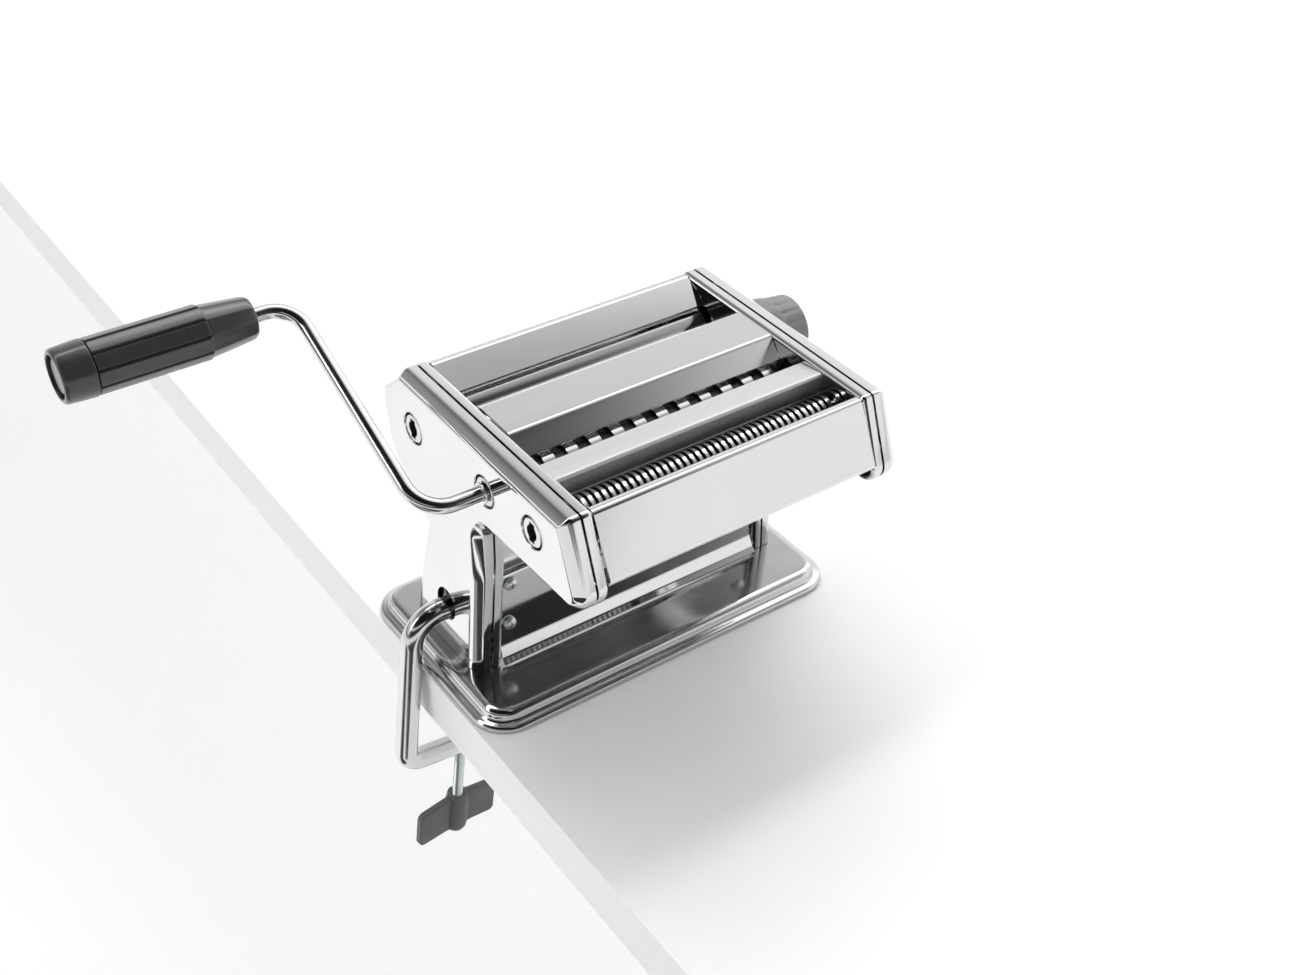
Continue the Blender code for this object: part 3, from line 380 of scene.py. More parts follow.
def sweep(name, points, radius, around=28):
    """A round rod along a path, with rotation-minimising rings and slightly rounded ends."""
    bm = bmesh.new()
    tangent = (points[1] - points[0]).normalized()
    side = tangent.orthogonal().normalized()
    loops = []
    rings = [(points[0], tangent, radius - 0.6), (points[0] + tangent * 0.6, tangent, radius)]
    for i in range(1, len(points) - 1):
        rings.append((points[i], (points[i + 1] - points[i - 1]).normalized(), radius))
    end = (points[-1] - points[-2]).normalized()
    rings += [(points[-1] - end * 0.6, end, radius), (points[-1], end, radius - 0.6)]
    for p, t, rad in rings:
        side = (side - t * side.dot(t)).normalized()
        other = t.cross(side)
        loops.append([bm.verts.new((p + side * rad * math.cos(2 * math.pi * k / around) + other * rad * math.sin(2 * math.pi * k / around)) * MM)
                      for k in range(around)])
    for a, b in zip(loops, loops[1:]):
        for k in range(around):
            j = (k + 1) % around
            bm.faces.new((a[k], a[j], b[j], b[k]))
    bm.faces.new(loops[0][::-1])
    bm.faces.new(loops[-1])
    return into_scene(name, mesh_from(name, bm))


def bend(points, step=math.radians(5)):
    out = []
    for i, (here, radius) in enumerate(points):
        if radius <= 0:
            out.append(here)
            continue
        before, after = points[i - 1][0] - here, points[i + 1][0] - here
        turn = math.pi - before.angle(after)
        reach = radius * math.tan(turn / 2)
        start = here + before.normalized() * reach
        end = here + after.normalized() * reach
        centre = here + (before.normalized() + after.normalized()).normalized() * (radius / math.cos(turn / 2))
        axis = (start - centre).cross(end - centre).normalized()
        count = max(2, math.ceil(turn / step))
        for k in range(count + 1):
            out.append(centre + Matrix.Rotation(turn * k / count, 3, axis) @ (start - centre))
    return out


# ---------------------------------------------------------------- dimensions shared with the CAD model (mm)
BASE_X, BASE_Y = 110.5, 64.0
FRAME_IN, FRAME_OUT = 77.4, 83.0
COVER_FLAT, COVER_OUT = 88.6, 94.5
LEG_STEP, LEG_INSET = 2.0, 2.6
LEG_FRONT, LEG_TOP, LEG_FOOT, SPLAY = -26.5, 77.5, 9.3, 4.2
ROLLER_END = 75.4
LINE = (-0.9976, 0.0698)
P_SMOOTH, P_WIDE, P_NARROW = (28.3, 128.5), (-37.7, 132.4), (-77.9, 135.4)
CLAMP_Y, CLAMP_Z, CLAMP_TILT = 3.6, 31.4, math.radians(6.3)


def along(p, s):
    return (p[0] + LINE[0] * s, p[1] + LINE[1] * s)


P_ADJUST, P_WIDE2, P_NARROW2 = along(P_SMOOTH, 26.8), along(P_WIDE, 18.6), along(P_NARROW, 17.6)
P_KNOB = along(P_ADJUST, 1.4)
SIDE = [
    (41.5, 155.0, 4), (-100.3, 155.0, 3), (-118.0, 110.6, 9), (LEG_FRONT, 107.8, 22),
    (LEG_FRONT, LEG_TOP, 0), (LEG_FRONT, 66.0, 0), (LEG_FRONT, LEG_FOOT, 0), (38.0, LEG_FOOT, 0), (33.5, 44.0, 30), (27.0, 73.5, 7),
    (54.0, 101.0, 10), (60.5, 122.0, 12), (60.5, 138.5, 8),
]


def splay(z):
    return SPLAY * max(0.0, LEG_TOP - z) / (LEG_TOP - LEG_FOOT)


def inset_side(d, foot=0.0):
    corners = []
    n = len(SIDE)
    for i in range(n):
        lines = []
        for a, b in ((i - 1, i), (i, (i + 1) % n)):
            p, q = Vector(SIDE[a][:2]), Vector(SIDE[b][:2])
            w = (q - p).normalized()
            move = foot if abs(p.y - q.y) < 1e-6 and p.y < 20 else d
            lines.append((p + Vector((-w.y, w.x)) * move, w))
        (p, w), (q, v) = lines
        cross = w.x * v.y - w.y * v.x
        if abs(cross) < 1e-6:
            corners.append((p.x, SIDE[i][1], 0))
            continue
        t = ((q - p).x * v.y - (q - p).y * v.x) / cross
        here = p + w * t
        radius = SIDE[i][2]
        if radius:
            radius = max(radius - d, 0.7) if cross > 0 else radius + d
        corners.append((here.x, here.y, radius))
    return rounded(corners)


def leg_of(outline):
    flags = [p.y < 67.0 or p.x > 0 and (p.y < 76.0 and p.x < 30.0 or p.y < 71.0) for p in outline]
    first = flags.index(True)
    return flags, first, len(flags) - 1 - flags[::-1].index(True)


def head_and_leg(bm, loop, first, last):
    n = len(loop)
    bm.faces.new(loop[first:last + 1])
    bm.faces.new((loop[first - 1], loop[first], loop[last], loop[(last + 1) % n]))
    return bm.faces.new([loop[(last + 1 + i) % n] for i in range(n - (last - first + 1))])


RINGS = ((84.2, 0.0), (86.5, 0.0), (88.0, 0.02), (88.8, 0.14), (89.6, 0.42), (90.5, 0.95), (91.5, 1.65), (92.4, 2.35), (93.1, 2.95),
         (93.7, 3.55), (94.15, 4.2), (94.42, 4.95), (94.5, 5.8))


def cover(name, sign):
    plain = inset_side(0)
    leg, first, last = leg_of(plain)

    def ring_at(x, d, foot):
        t = max(0.0, (x - COVER_FLAT) / (COVER_OUT - COVER_FLAT))
        near, far = inset_side(d, foot), inset_side(d + LEG_INSET * t, foot)
        out = []
        for i in range(len(near)):
            p = far[i] if leg[i] else near[i]
            out.append((sign * (x + (splay(p.y) - LEG_STEP * t if leg[i] else 0.0)), p.x, p.y))
        return out

    rings = [ring_at(x, d, 0.0) for x, d in RINGS]
    rings += [ring_at(x - 1.1, d + 0.3, 1.1) for x, d in RINGS[:2:-2]]
    rings += [ring_at(COVER_FLAT - 0.6, 1.1, 1.1), ring_at(84.2, 1.1, 1.1)]
    bm = bmesh.new()
    loops = [[bm.verts.new([c * MM for c in p]) for p in rr] for rr in rings]
    n = len(plain)
    outer = len(RINGS) - 1
    for a, b in list(zip(range(outer), range(1, outer + 1))) + [(k, k + 1) for k in range(outer + 1, len(rings) - 1)] + [(len(rings) - 1, 0)]:
        for i in range(n):
            j = (i + 1) % n
            bm.faces.new((loops[a][i], loops[a][j], loops[b][j], loops[b][i]))
    for k in (outer, outer + 1):
        head_and_leg(bm, loops[k], first, last)
    obj = into_scene(name + "_look", mesh_from(name, bm))
    x0, x1 = sorted((sign * (COVER_OUT - 3), sign * (COVER_OUT + 4)))
    if sign < 0:
        cutters = [rod_x(8.75, x0, x1, c) for c in (P_SMOOTH, P_WIDE, P_NARROW)]
        cutters.append(rod_x(8.9, x0, x1, (CLAMP_Y + 0.2, CLAMP_Z + 3.4)))
    else:
        cutters = [rod_x(4.3, x0, x1, P_KNOB, 32)]
    obj = cut(obj, cutters)
    return dress(obj, CHROME, [name], angle=28)


def side_frame(name, sign):
    plain = inset_side(0)
    leg, first, last = leg_of(plain)
    fold = 2.3
    rows = [(FRAME_IN + fold * (1 - math.cos(a)), fold * (1 - math.sin(a))) for a in (math.radians(15) * k for k in range(7))]
    rows += [(FRAME_OUT - 0.3, 0.0), (FRAME_OUT - 0.08, 0.08), (FRAME_OUT, 0.3), (FRAME_OUT, 1.1), (FRAME_OUT - 0.3, 1.4)]
    rows += [(FRAME_IN + fold - 0.9 * math.cos(a), fold - 0.9 * math.sin(a)) for a in (math.radians(30) * k for k in (3, 2, 1, 0))]
    bm = bmesh.new()
    loops = []
    for x, d in rows:
        outline = inset_side(d, d)
        loops.append([bm.verts.new((sign * (x + (splay(p.y) if on_leg else 0.0)) * MM, p.x * MM, p.y * MM)) for p, on_leg in zip(outline, leg)])
    n = len(plain)
    for a, b in zip(loops, loops[1:]):
        for i in range(n):
            j = (i + 1) % n
            bm.faces.new((a[i], a[j], b[j], b[i]))
    for loop in (loops[0], loops[-1]):
        head_and_leg(bm, loop, first, last)
    obj = into_scene(name + "_look", mesh_from(name, bm))
    x0, x1 = sorted((sign * (FRAME_IN - 2), sign * (FRAME_IN + 3)))
    cutters = [rod_x(rad, x0, x1, c, 40) for c, rad in ((P_SMOOTH, 7.0), (P_WIDE, 5.6), (P_WIDE2, 5.6), (P_NARROW, 5.6), (P_NARROW2, 5.6))]

    def on_line(p, s, t):
        return Vector((p[0] + LINE[0] * s + LINE[1] * t, p[1] + LINE[1] * s - LINE[0] * t))

    cutters.append(prism("cutter", [on_line(P_ADJUST, a, b) for a, b in ((-8.4, -7.6), (11.4, -7.6), (11.4, 7.6), (-8.4, 7.6))], x0, x1))
    cutters.append(prism("cutter", [on_line(P_ADJUST, 15.6 + a, -12.0 + b) for a, b in ((-2.2, -2.2), (5.2, -2.2), (5.2, 2.2), (-2.2, 2.2))], x0, x1))
    cutters += [rod_x(2.4, x0, x1, c, 24) for c in ((46.0, 116.0), (-22.2, 113.4))]
    if sign < 0:
        cutters.append(rod_x(8.9, x0 - 4, x1, (CLAMP_Y, CLAMP_Z + 1.2), 48))
    for y in (-14.0, 30.0):
        hole = lathe("cutter", [(0, 14), (2.4, 14), (2.4, 5), (0, 5)], Matrix.Translation((sign * 84.4 * MM, y * MM, 0)), 24)
        cutters.append(hole)
    obj = cut(obj, cutters)
    # the ear that the cross plate is screwed to
    bm = bmesh.new()
    verts = [bm.verts.new((sign * x * MM, y * MM, z * MM)) for z in (22.0, 64.0) for y in (-22.6, -21.1) for x in (67.0, 77.3 + splay(z))]
    bmesh.ops.convex_hull(bm, input=verts)
    tab = into_scene(name.replace("frame", "ear"), mesh_from(name + "_ear", bm))
    easing = tab.modifiers.new("round", "BEVEL")
    easing.width, easing.segments = 0.4 * MM, 2
    tab = flush(tab)
    dress(tab, CHROME, [], BODY_OF[name])
    return dress(obj, CHROME, [name], angle=30)


def bead(name, centre, x, mat=CHROME):
    """The turned-in edge of a hole in the left cover."""
    profile = [(9.35, -94.56), (8.95, -94.62), (8.6, -94.45), (8.4, -94.0), (8.3, -93.2), (8.3, -91.2), (8.7, -91.2), (8.72, -93.6)]
    obj = lathe(name, profile, at_x(0, centre), 96, closed=True)
    return dress(obj, mat, [], "chassis", angle=50)


def on_line(p, s, t):
    return Vector((p[0] + LINE[0] * s + LINE[1] * t, p[1] + LINE[1] * s - LINE[0] * t))


# ---------------------------------------------------------------- side frames and covers
for sign, word in ((-1, "left"), (1, "right")):
    cover(word + "_cover", sign)
    side_frame(word + "_frame", sign)
for tag, centre in (("smooth", P_SMOOTH), ("wide", P_WIDE), ("narrow", P_NARROW)):
    bead("hole_edge_" + tag, centre, -COVER_OUT)


# ---------------------------------------------------------------- base
def base_ring(bm, inset, z, steps=14):
    out = []
    rad = max(19.0 - inset, 4.0)
    hx, hy = BASE_X - inset - rad, BASE_Y - inset - rad
    for q, (sx, sy) in enumerate(((1, 1), (-1, 1), (-1, -1), (1, -1))):
        for k in range(steps + 1):
            a = math.pi / 2 * (q + k / steps)
            out.append(bm.verts.new(((sx * hx + rad * math.cos(a)) * MM, (sy * hy + rad * math.sin(a)) * MM, z * MM)))
    return out


bm = bmesh.new()
TRAY = [(11.0, 9.0), (9.6, 9.0), (8.6, 8.95), (7.6, 8.74), (6.7, 8.35), (5.95, 7.75), (5.4, 7.0), (5.05, 6.1), (4.9, 5.2), (4.75, 4.4), (4.4, 3.75),
        (3.8, 3.3), (3.0, 3.05), (2.0, 2.95), (1.3, 2.8), (0.7, 2.45), (0.25, 1.95), (0.05, 1.4), (0.0, 0.8), (0.1, 0.0), (1.0, 0.0), (1.1, 1.2),
        (1.6, 1.85), (3.6, 2.1), (5.6, 2.8), (6.0, 4.4), (6.2, 6.2), (7.2, 7.4), (9.0, 7.9), (11.0, 7.9)]
loops = [base_ring(bm, i, z) for i, z in TRAY]
n = len(loops[0])
for a, b in zip(loops, loops[1:]):
    for k in range(n):
        j = (k + 1) % n
        bm.faces.new((a[k], a[j], b[j], b[k]))
bm.faces.new(loops[0])
bm.faces.new(loops[-1][::-1])
tray = into_scene("base_cover_look", mesh_from("base_cover", bm))
dress(tray, TRAY_CHROME, ["base_cover"], angle=50)

# ---------------------------------------------------------------- sheets and bars between the frames
IN = FRAME_IN - 0.4
sheet("front_panel_look", [(-90.2, 147.2, 0), (-96.0, 153.4, 3.0), (-99.6, 153.4, 2.2), (-114.4, 123.3, 3.0), (-111.0, 120.2, 0)], 1.0, -IN, IN, CHROME)
sheet("rear_panel_look", [(22.5, 144.6, 0), (38.5, 153.9, 2.5), (42.5, 152.4, 2.5), (58.6, 137.6, 5.0), (58.6, 118.0, 0)], 1.0, -IN, IN, CHROME)
sheet("middle_bar_look", [(-2.2, 146.3, 0), (-5.4, 154.0, 2.4), (-31.6, 154.0, 2.4), (-39.0, 143.6, 0)], 1.2, -IN, IN, SATIN)
sheet("guide_bar_look", [(-55.2, 150.3, 0), (-70.2, 152.5, 1.1), (-71.2, 151.6, 1.0), (-69.0, 140.6, 0.4), (-69.6, 139.8, 0)], 1.0, -IN, IN, BRUSHED)
Y = -23.5
sheet("cross_plate_look", [(Y - 5.8, 10.2, 0), (Y - 3.0, 12.4, 3.0), (Y, 19.0, 6.0), (Y, 64.6, 3.0), (Y + 8.9, 66.6, 0)], 1.0, -IN, IN, CHROME, leaning=True)

# tie rods and the bar of the carriage
for name, centre in (("tie_rod_rear", (46.0, 116.0)), ("tie_rod_middle", (-22.2, 113.4))):
    rod = lathe(name + "_look", [(0, 82.0), (1.8, 82.0), (2.1, 81.6), (2.1, 77.2), (3.1, 77.2), (3.4, 76.9), (3.4, -76.9), (3.1, -77.2), (2.1, -77.2),
                                 (2.1, -81.6), (1.8, -82.0), (0, -82.0)], at_x(0, centre), 36)
    dress(rod, ZINC, [name])
bar_centre = on_line(P_ADJUST, 15.6, -12.0)
rod = lathe("carriage_tie_bar_look", [(0, 82.6), (1.4, 82.6), (1.7, 82.2), (1.7, 76.6), (2.3, 76.6), (2.6, 76.3), (2.6, -76.3), (2.3, -76.6), (1.7, -76.6),
                                      (1.7, -82.2), (1.4, -82.6), (0, -82.6)], at_x(0, bar_centre), 32)
dress(rod, ZINC, ["carriage_tie_bar"])

# screws of the cross plate: domed heads with a cross recess
for sign, word in ((-1, "left"), (1, "right")):
    for tag, (x, z) in (("upper", (74.2, 58.2)), ("lower", (75.2, 32.6))):
        name = f"plate_screw_{word}_{tag}"
        place = Matrix.Translation((sign * x * MM, (Y - 0.8) * MM, z * MM)) @ Matrix.Rotation(math.pi / 2, 4, "X")
        bolt = lathe(name + "_look", [(0, 2.6), (1.2, 2.52), (2.2, 2.25), (3.0, 1.7), (3.45, 1.0), (3.6, 0.3), (3.6, 0), (1.6, 0), (1.6, -5.0), (1.2, -5.4), (0, -5.4)], place, 40)
        cutters = []
        for k in (0, 1):
            a, b = (1.9, 0.32) if k else (0.32, 1.9)
            bm = bmesh.new()
            verts = [bm.verts.new((sa * a * MM, sb * b * MM, h * MM)) for sa in (-1, 1) for sb in (-1, 1) for h in (1.2, 4.0)]
            bmesh.ops.convex_hull(bm, input=verts)
            bm.transform(place)
            cutters.append(into_scene("cutter", mesh_from("cutter", bm)))
        dress(cut(bolt, cutters), ZINC, [name], angle=30)


# ---------------------------------------------------------------- rollers
def end_ring(centre):
    """Collar on the crank side of a driven shaft, with the notched mouth of its socket."""
    return [(4.9, -91.0), (7.0, -91.0), (7.3, -91.3), (7.3, -93.7), (7.15, -94.1), (6.8, -94.35), (6.4, -94.4)]


def driven(name, centre, body, mat, steps=96):
    profile = [(0, 82.6), (4.5, 82.6), (4.9, 82.2), (4.9, ROLLER_END)] + body + [(4.9, -ROLLER_END)] + end_ring(centre) + [(0, -94.4)]
    obj = lathe(name + "_look", profile, at_x(0, centre), steps)
    mouth = ring(3.95, 40, (0, 0))
    notch = [Vector(p) for p in ((-2.1, -5.3), (2.1, -5.3), (2.1, 5.3), (-2.1, 5.3))]
    shapes = []
    for outline in (mouth, notch):
        moved = [p + Vector(centre) for p in outline]
        shapes.append(prism("cutter", moved, -96.0, -76.0 if outline is mouth else -88.0))
    obj = cut(obj, shapes)
    dress(obj, mat, [name], angle=30)
    # painted shade: the faces inside the socket and its notch get the dark plastic material, standing in for the shade
    # deep in the bore
    obj.data.materials.append(BLACK)
    for f in obj.data.polygons:
        c = f.center / MM
        radial = math.hypot(c.y - centre[0], c.z - centre[1])
        if -94.3 < c.x < -75.0 and radial < 5.4 and abs(f.normal.x) < 0.9 and radial < 4.85 + 0.6 and (f.normal.y * (c.y - centre[0]) + f.normal.z * (c.z - centre[1])) < 0:
            f.material_index = 1
        if abs(f.normal.x) > 0.9 and -94.0 < c.x < -75.0 and radial < 4.6:
            f.material_index = 1
    return obj


def mated(name, centre, body, mat, journal=4.9, steps=96):
    profile = [(0, 82.6), (journal - 0.4, 82.6), (journal, 82.2), (journal, ROLLER_END)] + body + [(journal, -ROLLER_END), (journal, -90.6), (journal - 0.4, -91.0), (0, -91.0)]
    return dress(lathe(name + "_look", profile, at_x(0, centre), steps), mat, [name], angle=30)


def plain_body(radius):
    return [(radius - 0.5, ROLLER_END), (radius, ROLLER_END - 0.5), (radius, -ROLLER_END + 0.5), (radius - 0.5, -ROLLER_END)]


def disc_body(radius, low, pitch, wide, shift):
    """Cutting discs with grooves between them, edges just broken."""
    points = [(low, ROLLER_END)]
    count = int(2 * ROLLER_END / pitch)
    first = count * pitch / 2 - shift
    for k in range(count):
        top = first - k * pitch
        bottom = top - wide
        if top > ROLLER_END - 0.1 or bottom < -ROLLER_END + 0.1:
            continue
        points += [(low, top), (radius - 0.15, top), (radius, top - 0.15), (radius, bottom + 0.15), (radius - 0.15, bottom), (low, bottom)]
    points.append((low, -ROLLER_END))
    return points


def darken_grooves(obj, centre, radius):
    """The sides and floors of the grooves get a dark material: painted shade deep between the discs."""
    obj.data.materials.append(GROOVE_SHADE)
    which = len(obj.data.materials) - 1
    for f in obj.data.polygons:
        c = f.center / MM
        if abs(c.x) < ROLLER_END - 0.5 and math.hypot(c.y - centre[0], c.z - centre[1]) < radius - 0.35:
            f.material_index = which


driven("smooth_drive_roller", P_SMOOTH, plain_body(13.2), SATIN)
mated("smooth_adjust_roller", P_ADJUST, plain_body(13.2), SATIN, 5.4)
darken_grooves(driven("wide_drive_cutter", P_WIDE, disc_body(9.15, 7.4, 13.0, 6.35, 0.0), SATIN, 64), P_WIDE, 9.15)
darken_grooves(mated("wide_mate_cutter", P_WIDE2, disc_body(9.15, 7.4, 13.0, 6.35, 6.5), SATIN, 4.9, 64), P_WIDE2, 9.15)
darken_grooves(driven("narrow_drive_cutter", P_NARROW, disc_body(8.6, 6.4, 3.75, 1.9, 0.0), SATIN, 64), P_NARROW, 8.6)
darken_grooves(mated("narrow_mate_cutter", P_NARROW2, disc_body(8.6, 6.4, 3.75, 1.9, 1.875), SATIN, 4.9, 64), P_NARROW2, 8.6)

# ---------------------------------------------------------------- thickness regulator knob
lobes = []
KNOB_STEPS = 180
bm = bmesh.new()
KNOB_PROFILE = [(15.9, 117.8, 0), (16.2, 117.6, 0), (16.45, 117.0, 0.05), (17.2, 111.0, 0.5), (17.7, 107.0, 0.9), (18.0, 104.6, 1), (18.6, 103.2, 0.9),
                (18.95, 102.2, 0.3), (19.0, 101.0, 0), (19.0, 96.8, 0), (18.8, 96.2, 0), (18.4, 96.0, 0), (4.3, 96.0, 0), (4.3, 99.2, 0), (9.8, 99.2, 0),
                (9.8, 116.2, 0), (13.6, 116.2, 0), (13.7, 117.6, 0), (14.0, 117.8, 0)]
loops = []
for rad, h, wave in KNOB_PROFILE:
    row = []
    for k in range(KNOB_STEPS):
        a = 2 * math.pi * k / KNOB_STEPS
        s = 0.5 - 0.5 * math.cos(18 * a)
        rr = rad - wave * 0.75 * s ** 3
        row.append(bm.verts.new((rr * MM * math.cos(a), rr * MM * math.sin(a), h * MM)))
    loops.append(row)
for a, b in zip(loops, loops[1:] + loops[:1]):
    for k in range(KNOB_STEPS):
        j = (k + 1) % KNOB_STEPS
        bm.faces.new((a[k], b[k], b[j], a[j]))
bm.transform(at_x(0, P_KNOB))
knob = into_scene("regulator_knob_look", mesh_from("knob", bm))
dress(knob, GREY, ["regulator_knob"], angle=40)
cap = lathe("regulator_knob_cap_look", [(0, 118.45), (8.0, 118.5), (12.2, 118.6), (12.8, 118.5), (13.1, 118.2), (13.2, 117.8), (13.2, 116.5), (0, 116.5)], at_x(0, P_KNOB), 96)
dress(cap, GREY, ["regulator_knob_cap"])

# ---------------------------------------------------------------- crank and its grip
GRIP_Y, GRIP_Z = 73.5, 187.2
path = bend([(Vector((-77.5, *P_WIDE)), 0), (Vector((-126.5, *P_WIDE)), 17.0), (Vector((-129.5, GRIP_Y, GRIP_Z)), 15.0),
             (Vector((-236.0, GRIP_Y, GRIP_Z)), 0)], math.radians(4))
dress(sweep("crank_rod_look", path, 3.75, 40), ROD, ["crank_rod"], angle=60)
section = [(4.55 + 0.7 * math.cos(a), -95.9 + 0.6 * math.sin(a)) for a in (2 * math.pi * k / 16 for k in range(16))]
dress(lathe("crank_collar_look", section[::-1], at_x(0, P_WIDE), 64, closed=True), CHROME, ["crank_collar"], angle=80)

RIBS, FINE = 10, 22
around = RIBS * FINE


def rib(k, rad, flat, groove):
    """How far below the full radius the surface lies: flats, and a fine groove along each corner between them."""
    u = (k % FINE) / FINE
    off = abs(u - 0.5) * 2 * math.pi / RIBS
    chord = rad * (1 - math.cos(math.pi / RIBS) / math.cos(off))
    edge = min(k % FINE, FINE - k % FINE)
    return 0.7 * flat * chord + (groove * (1.3, 0.9, 0.15)[edge] if edge < 3 else 0.0)


bm = bmesh.new()
GRIP = [(4.1, -150.6, (0, 0)), (7.6, -150.2, (0, 0)), (8.8, -150.3, (0.2, 0)), (9.6, -150.7, (0.5, 0)), (10.15, -151.4, (0.8, 0)), (10.5, -152.6, (0.9, 0)),
        (11.1, -158.0, (0.9, 0)), (11.9, -166.0, (0.9, 0)), (12.5, -172.4, (0.9, 0)), (12.62, -173.6, (0.9, 0)), (12.62, -174.2, (0.9, 0)),
        (13.25, -174.3, (1, 0.8)), (13.45, -174.6, (1, 1)), (13.5, -175.2, (1, 1)), (13.5, -226.2, (1, 1)), (13.4, -226.8, (1, 1)), (13.1, -227.0, (1, 1)),
        (12.0, -227.0, (0, 0)), (4.1, -227.0, (0, 0))]
loops = []
for rad, x, depth in GRIP:
    row = []
    for k in range(around):
        a = 2 * math.pi * (k + FINE / 2) / around
        rr = rad - rib(k, rad, *depth)
        row.append(bm.verts.new((x * MM, (GRIP_Y + rr * math.cos(a)) * MM, (GRIP_Z + rr * math.sin(a)) * MM)))
    loops.append(row)
for a, b in zip(loops, loops[1:] + loops[:1]):
    for k in range(around):
        j = (k + 1) % around
        bm.faces.new((a[k], b[k], b[j], a[j]))
dress(into_scene("grip_look", mesh_from("grip", bm)), BLACK, ["grip"], angle=24)
cap = lathe("grip_end_cap_look", [(0, -237.0), (4.1, -237.0), (4.1, -227.4), (12.9, -227.4), (13.4, -227.6), (13.6, -228.1), (13.45, -232.0), (13.15, -238.0), (12.95, -240.6),
                                  (12.7, -241.5), (12.25, -242.2), (11.6, -242.55), (10.9, -242.6), (10.5, -242.5), (10.25, -242.2), (10.2, -239.2), (8.3, -239.2),
                                  (8.25, -241.0), (8.0, -241.3), (7.4, -241.45), (0, -241.5)], at_x(0, (GRIP_Y, GRIP_Z)), 96)
dress(cap, BLACK, ["grip_end_cap"], angle=40)

# ---------------------------------------------------------------- table clamp
tilt = Matrix.Rotation(CLAMP_TILT, 4, "Y")
pivot = Vector((-87.1, CLAMP_Y, CLAMP_Z))


def leaned(x, y, z):
    return pivot + (tilt.to_3x3() @ (Vector((x, y, z)) - pivot))


path = bend([(leaned(-65.0, CLAMP_Y, CLAMP_Z), 0), (leaned(-114.6, CLAMP_Y, CLAMP_Z), 17.0), (leaned(-114.6, CLAMP_Y, -67.1), 8.5),
             (leaned(-72.5, CLAMP_Y, -67.1), 0)], math.radians(4))
clamp = sweep("clamp_frame_look", path, 6.0, 56)
lean = Matrix.Translation(leaned(-80.5, CLAMP_Y, 0) * MM) @ tilt
hole = lathe("cutter", [(0, -50), (3.35, -50), (3.35, -95), (0, -95)], lean, 40)
dress(cut(clamp, [hole]), ROD, ["clamp_frame"], angle=60)

bm = bmesh.new()
THREAD, turns_around = 1.0, 24
z0, z1 = -42.9, -124.0
rows = int((z0 - z1) * 6)
loops = []
for i in range(rows + 1):
    z = z0 + (z1 - z0) * i / rows
    row = []
    for k in range(turns_around):
        a = 2 * math.pi * k / turns_around
        phase = (z / THREAD + k / turns_around) % 1.0
        crest = 1 - abs(2 * phase - 1)
        rr = 2.42 + 0.55 * min(1.0, max(0.0, crest * 1.5 - 0.2))
        if i in (0, rows):
            rr = 2.0
        row.append(bm.verts.new((rr * MM * math.cos(a), rr * MM * math.sin(a), z * MM)))
    loops.append(row)
for a, b in zip(loops, loops[1:]):
    for k in range(turns_around):
        j = (k + 1) % turns_around
        bm.faces.new((a[k], b[k], b[j], a[j]))
bm.faces.new(loops[0])
bm.faces.new(loops[-1][::-1])
bm.transform(lean)
dress(into_scene("clamp_screw_look", mesh_from("clamp_screw", bm)), ZINC, ["clamp_screw"], angle=40, weighted=False)
pad = lathe("clamp_pad_look", [(0, -36.0), (9.0, -36.0), (9.6, -36.2), (9.95, -36.7), (10.0, -37.2), (10.0, -39.0), (9.6, -39.7), (8.6, -40.1), (6.6, -40.5), (6.1, -41.0),
                               (6.0, -41.8), (6.0, -46.0), (5.6, -46.6), (3.3, -46.6), (3.3, -42.6), (0, -42.6)], lean, 72)
dress(pad, ZINC, ["clamp_pad"], angle=40)
hub = lathe("clamp_wing_knob_look", [(0, -124.4), (3.3, -124.4), (3.3, -105.4), (3.7, -105.0), (5.2, -105.0), (5.7, -105.3), (5.85, -105.9), (5.85, -107.6), (6.1, -108.6), (6.5, -110.0),
                                     (6.6, -113.0), (6.4, -126.6), (6.0, -129.0), (5.1, -130.6), (3.8, -131.2), (0, -131.2)], lean, 56)
dress(hub, WING, ["clamp_wing_knob"], angle=40)
blade = rounded([(-26.0, -131.6, 3.2), (-26.0, -109.4, 4.2), (-7.0, -106.6, 4), (-3.6, -106.6, 0), (-3.6, -130.0, 0), (-9.0, -130.0, 4)], math.radians(10))
for k in (0, 1):
    bm = bmesh.new()
    a = [bm.verts.new((p.x * MM, -2.2 * MM, p.y * MM)) for p in blade]
    b = [bm.verts.new((p.x * MM, 2.2 * MM, p.y * MM)) for p in blade]
    for i in range(len(a)):
        j = (i + 1) % len(a)
        bm.faces.new((a[i], a[j], b[j], b[i]))
    bm.faces.new(a[::-1])
    bm.faces.new(b)
    bm.transform(lean @ Matrix.Rotation(math.radians(7) + math.pi * k, 4, "Z"))
    wing = into_scene(f"clamp_wing_{k}", mesh_from("wing", bm))
    easing = wing.modifiers.new("round", "BEVEL")
    easing.width, easing.segments = 0.9 * MM, 3
    dress(flush(wing), WING, [], "clamp_wing", angle=40)

# ---------------------------------------------------------------- worktop, floor and light
PALE = noise_into(principled("worktop", (0.8, 0.8, 0.8), 0.5, 0.0), "Roughness", 8, 0.45, 0.6)
colour_noise(PALE, 3, (0.79, 0.79, 0.79), (0.83, 0.83, 0.83))


def plane(name, corners, mat, low=None):
    bm = bmesh.new()
    if low is None:
        bm.faces.new([bm.verts.new(c) for c in corners])
    else:
        verts = [bm.verts.new((c[0], c[1], z)) for c in corners for z in (c[2], low)]
        bmesh.ops.convex_hull(bm, input=verts)
    obj = into_scene(name, mesh_from(name, bm))
    obj.data.materials.append(mat)
    return obj


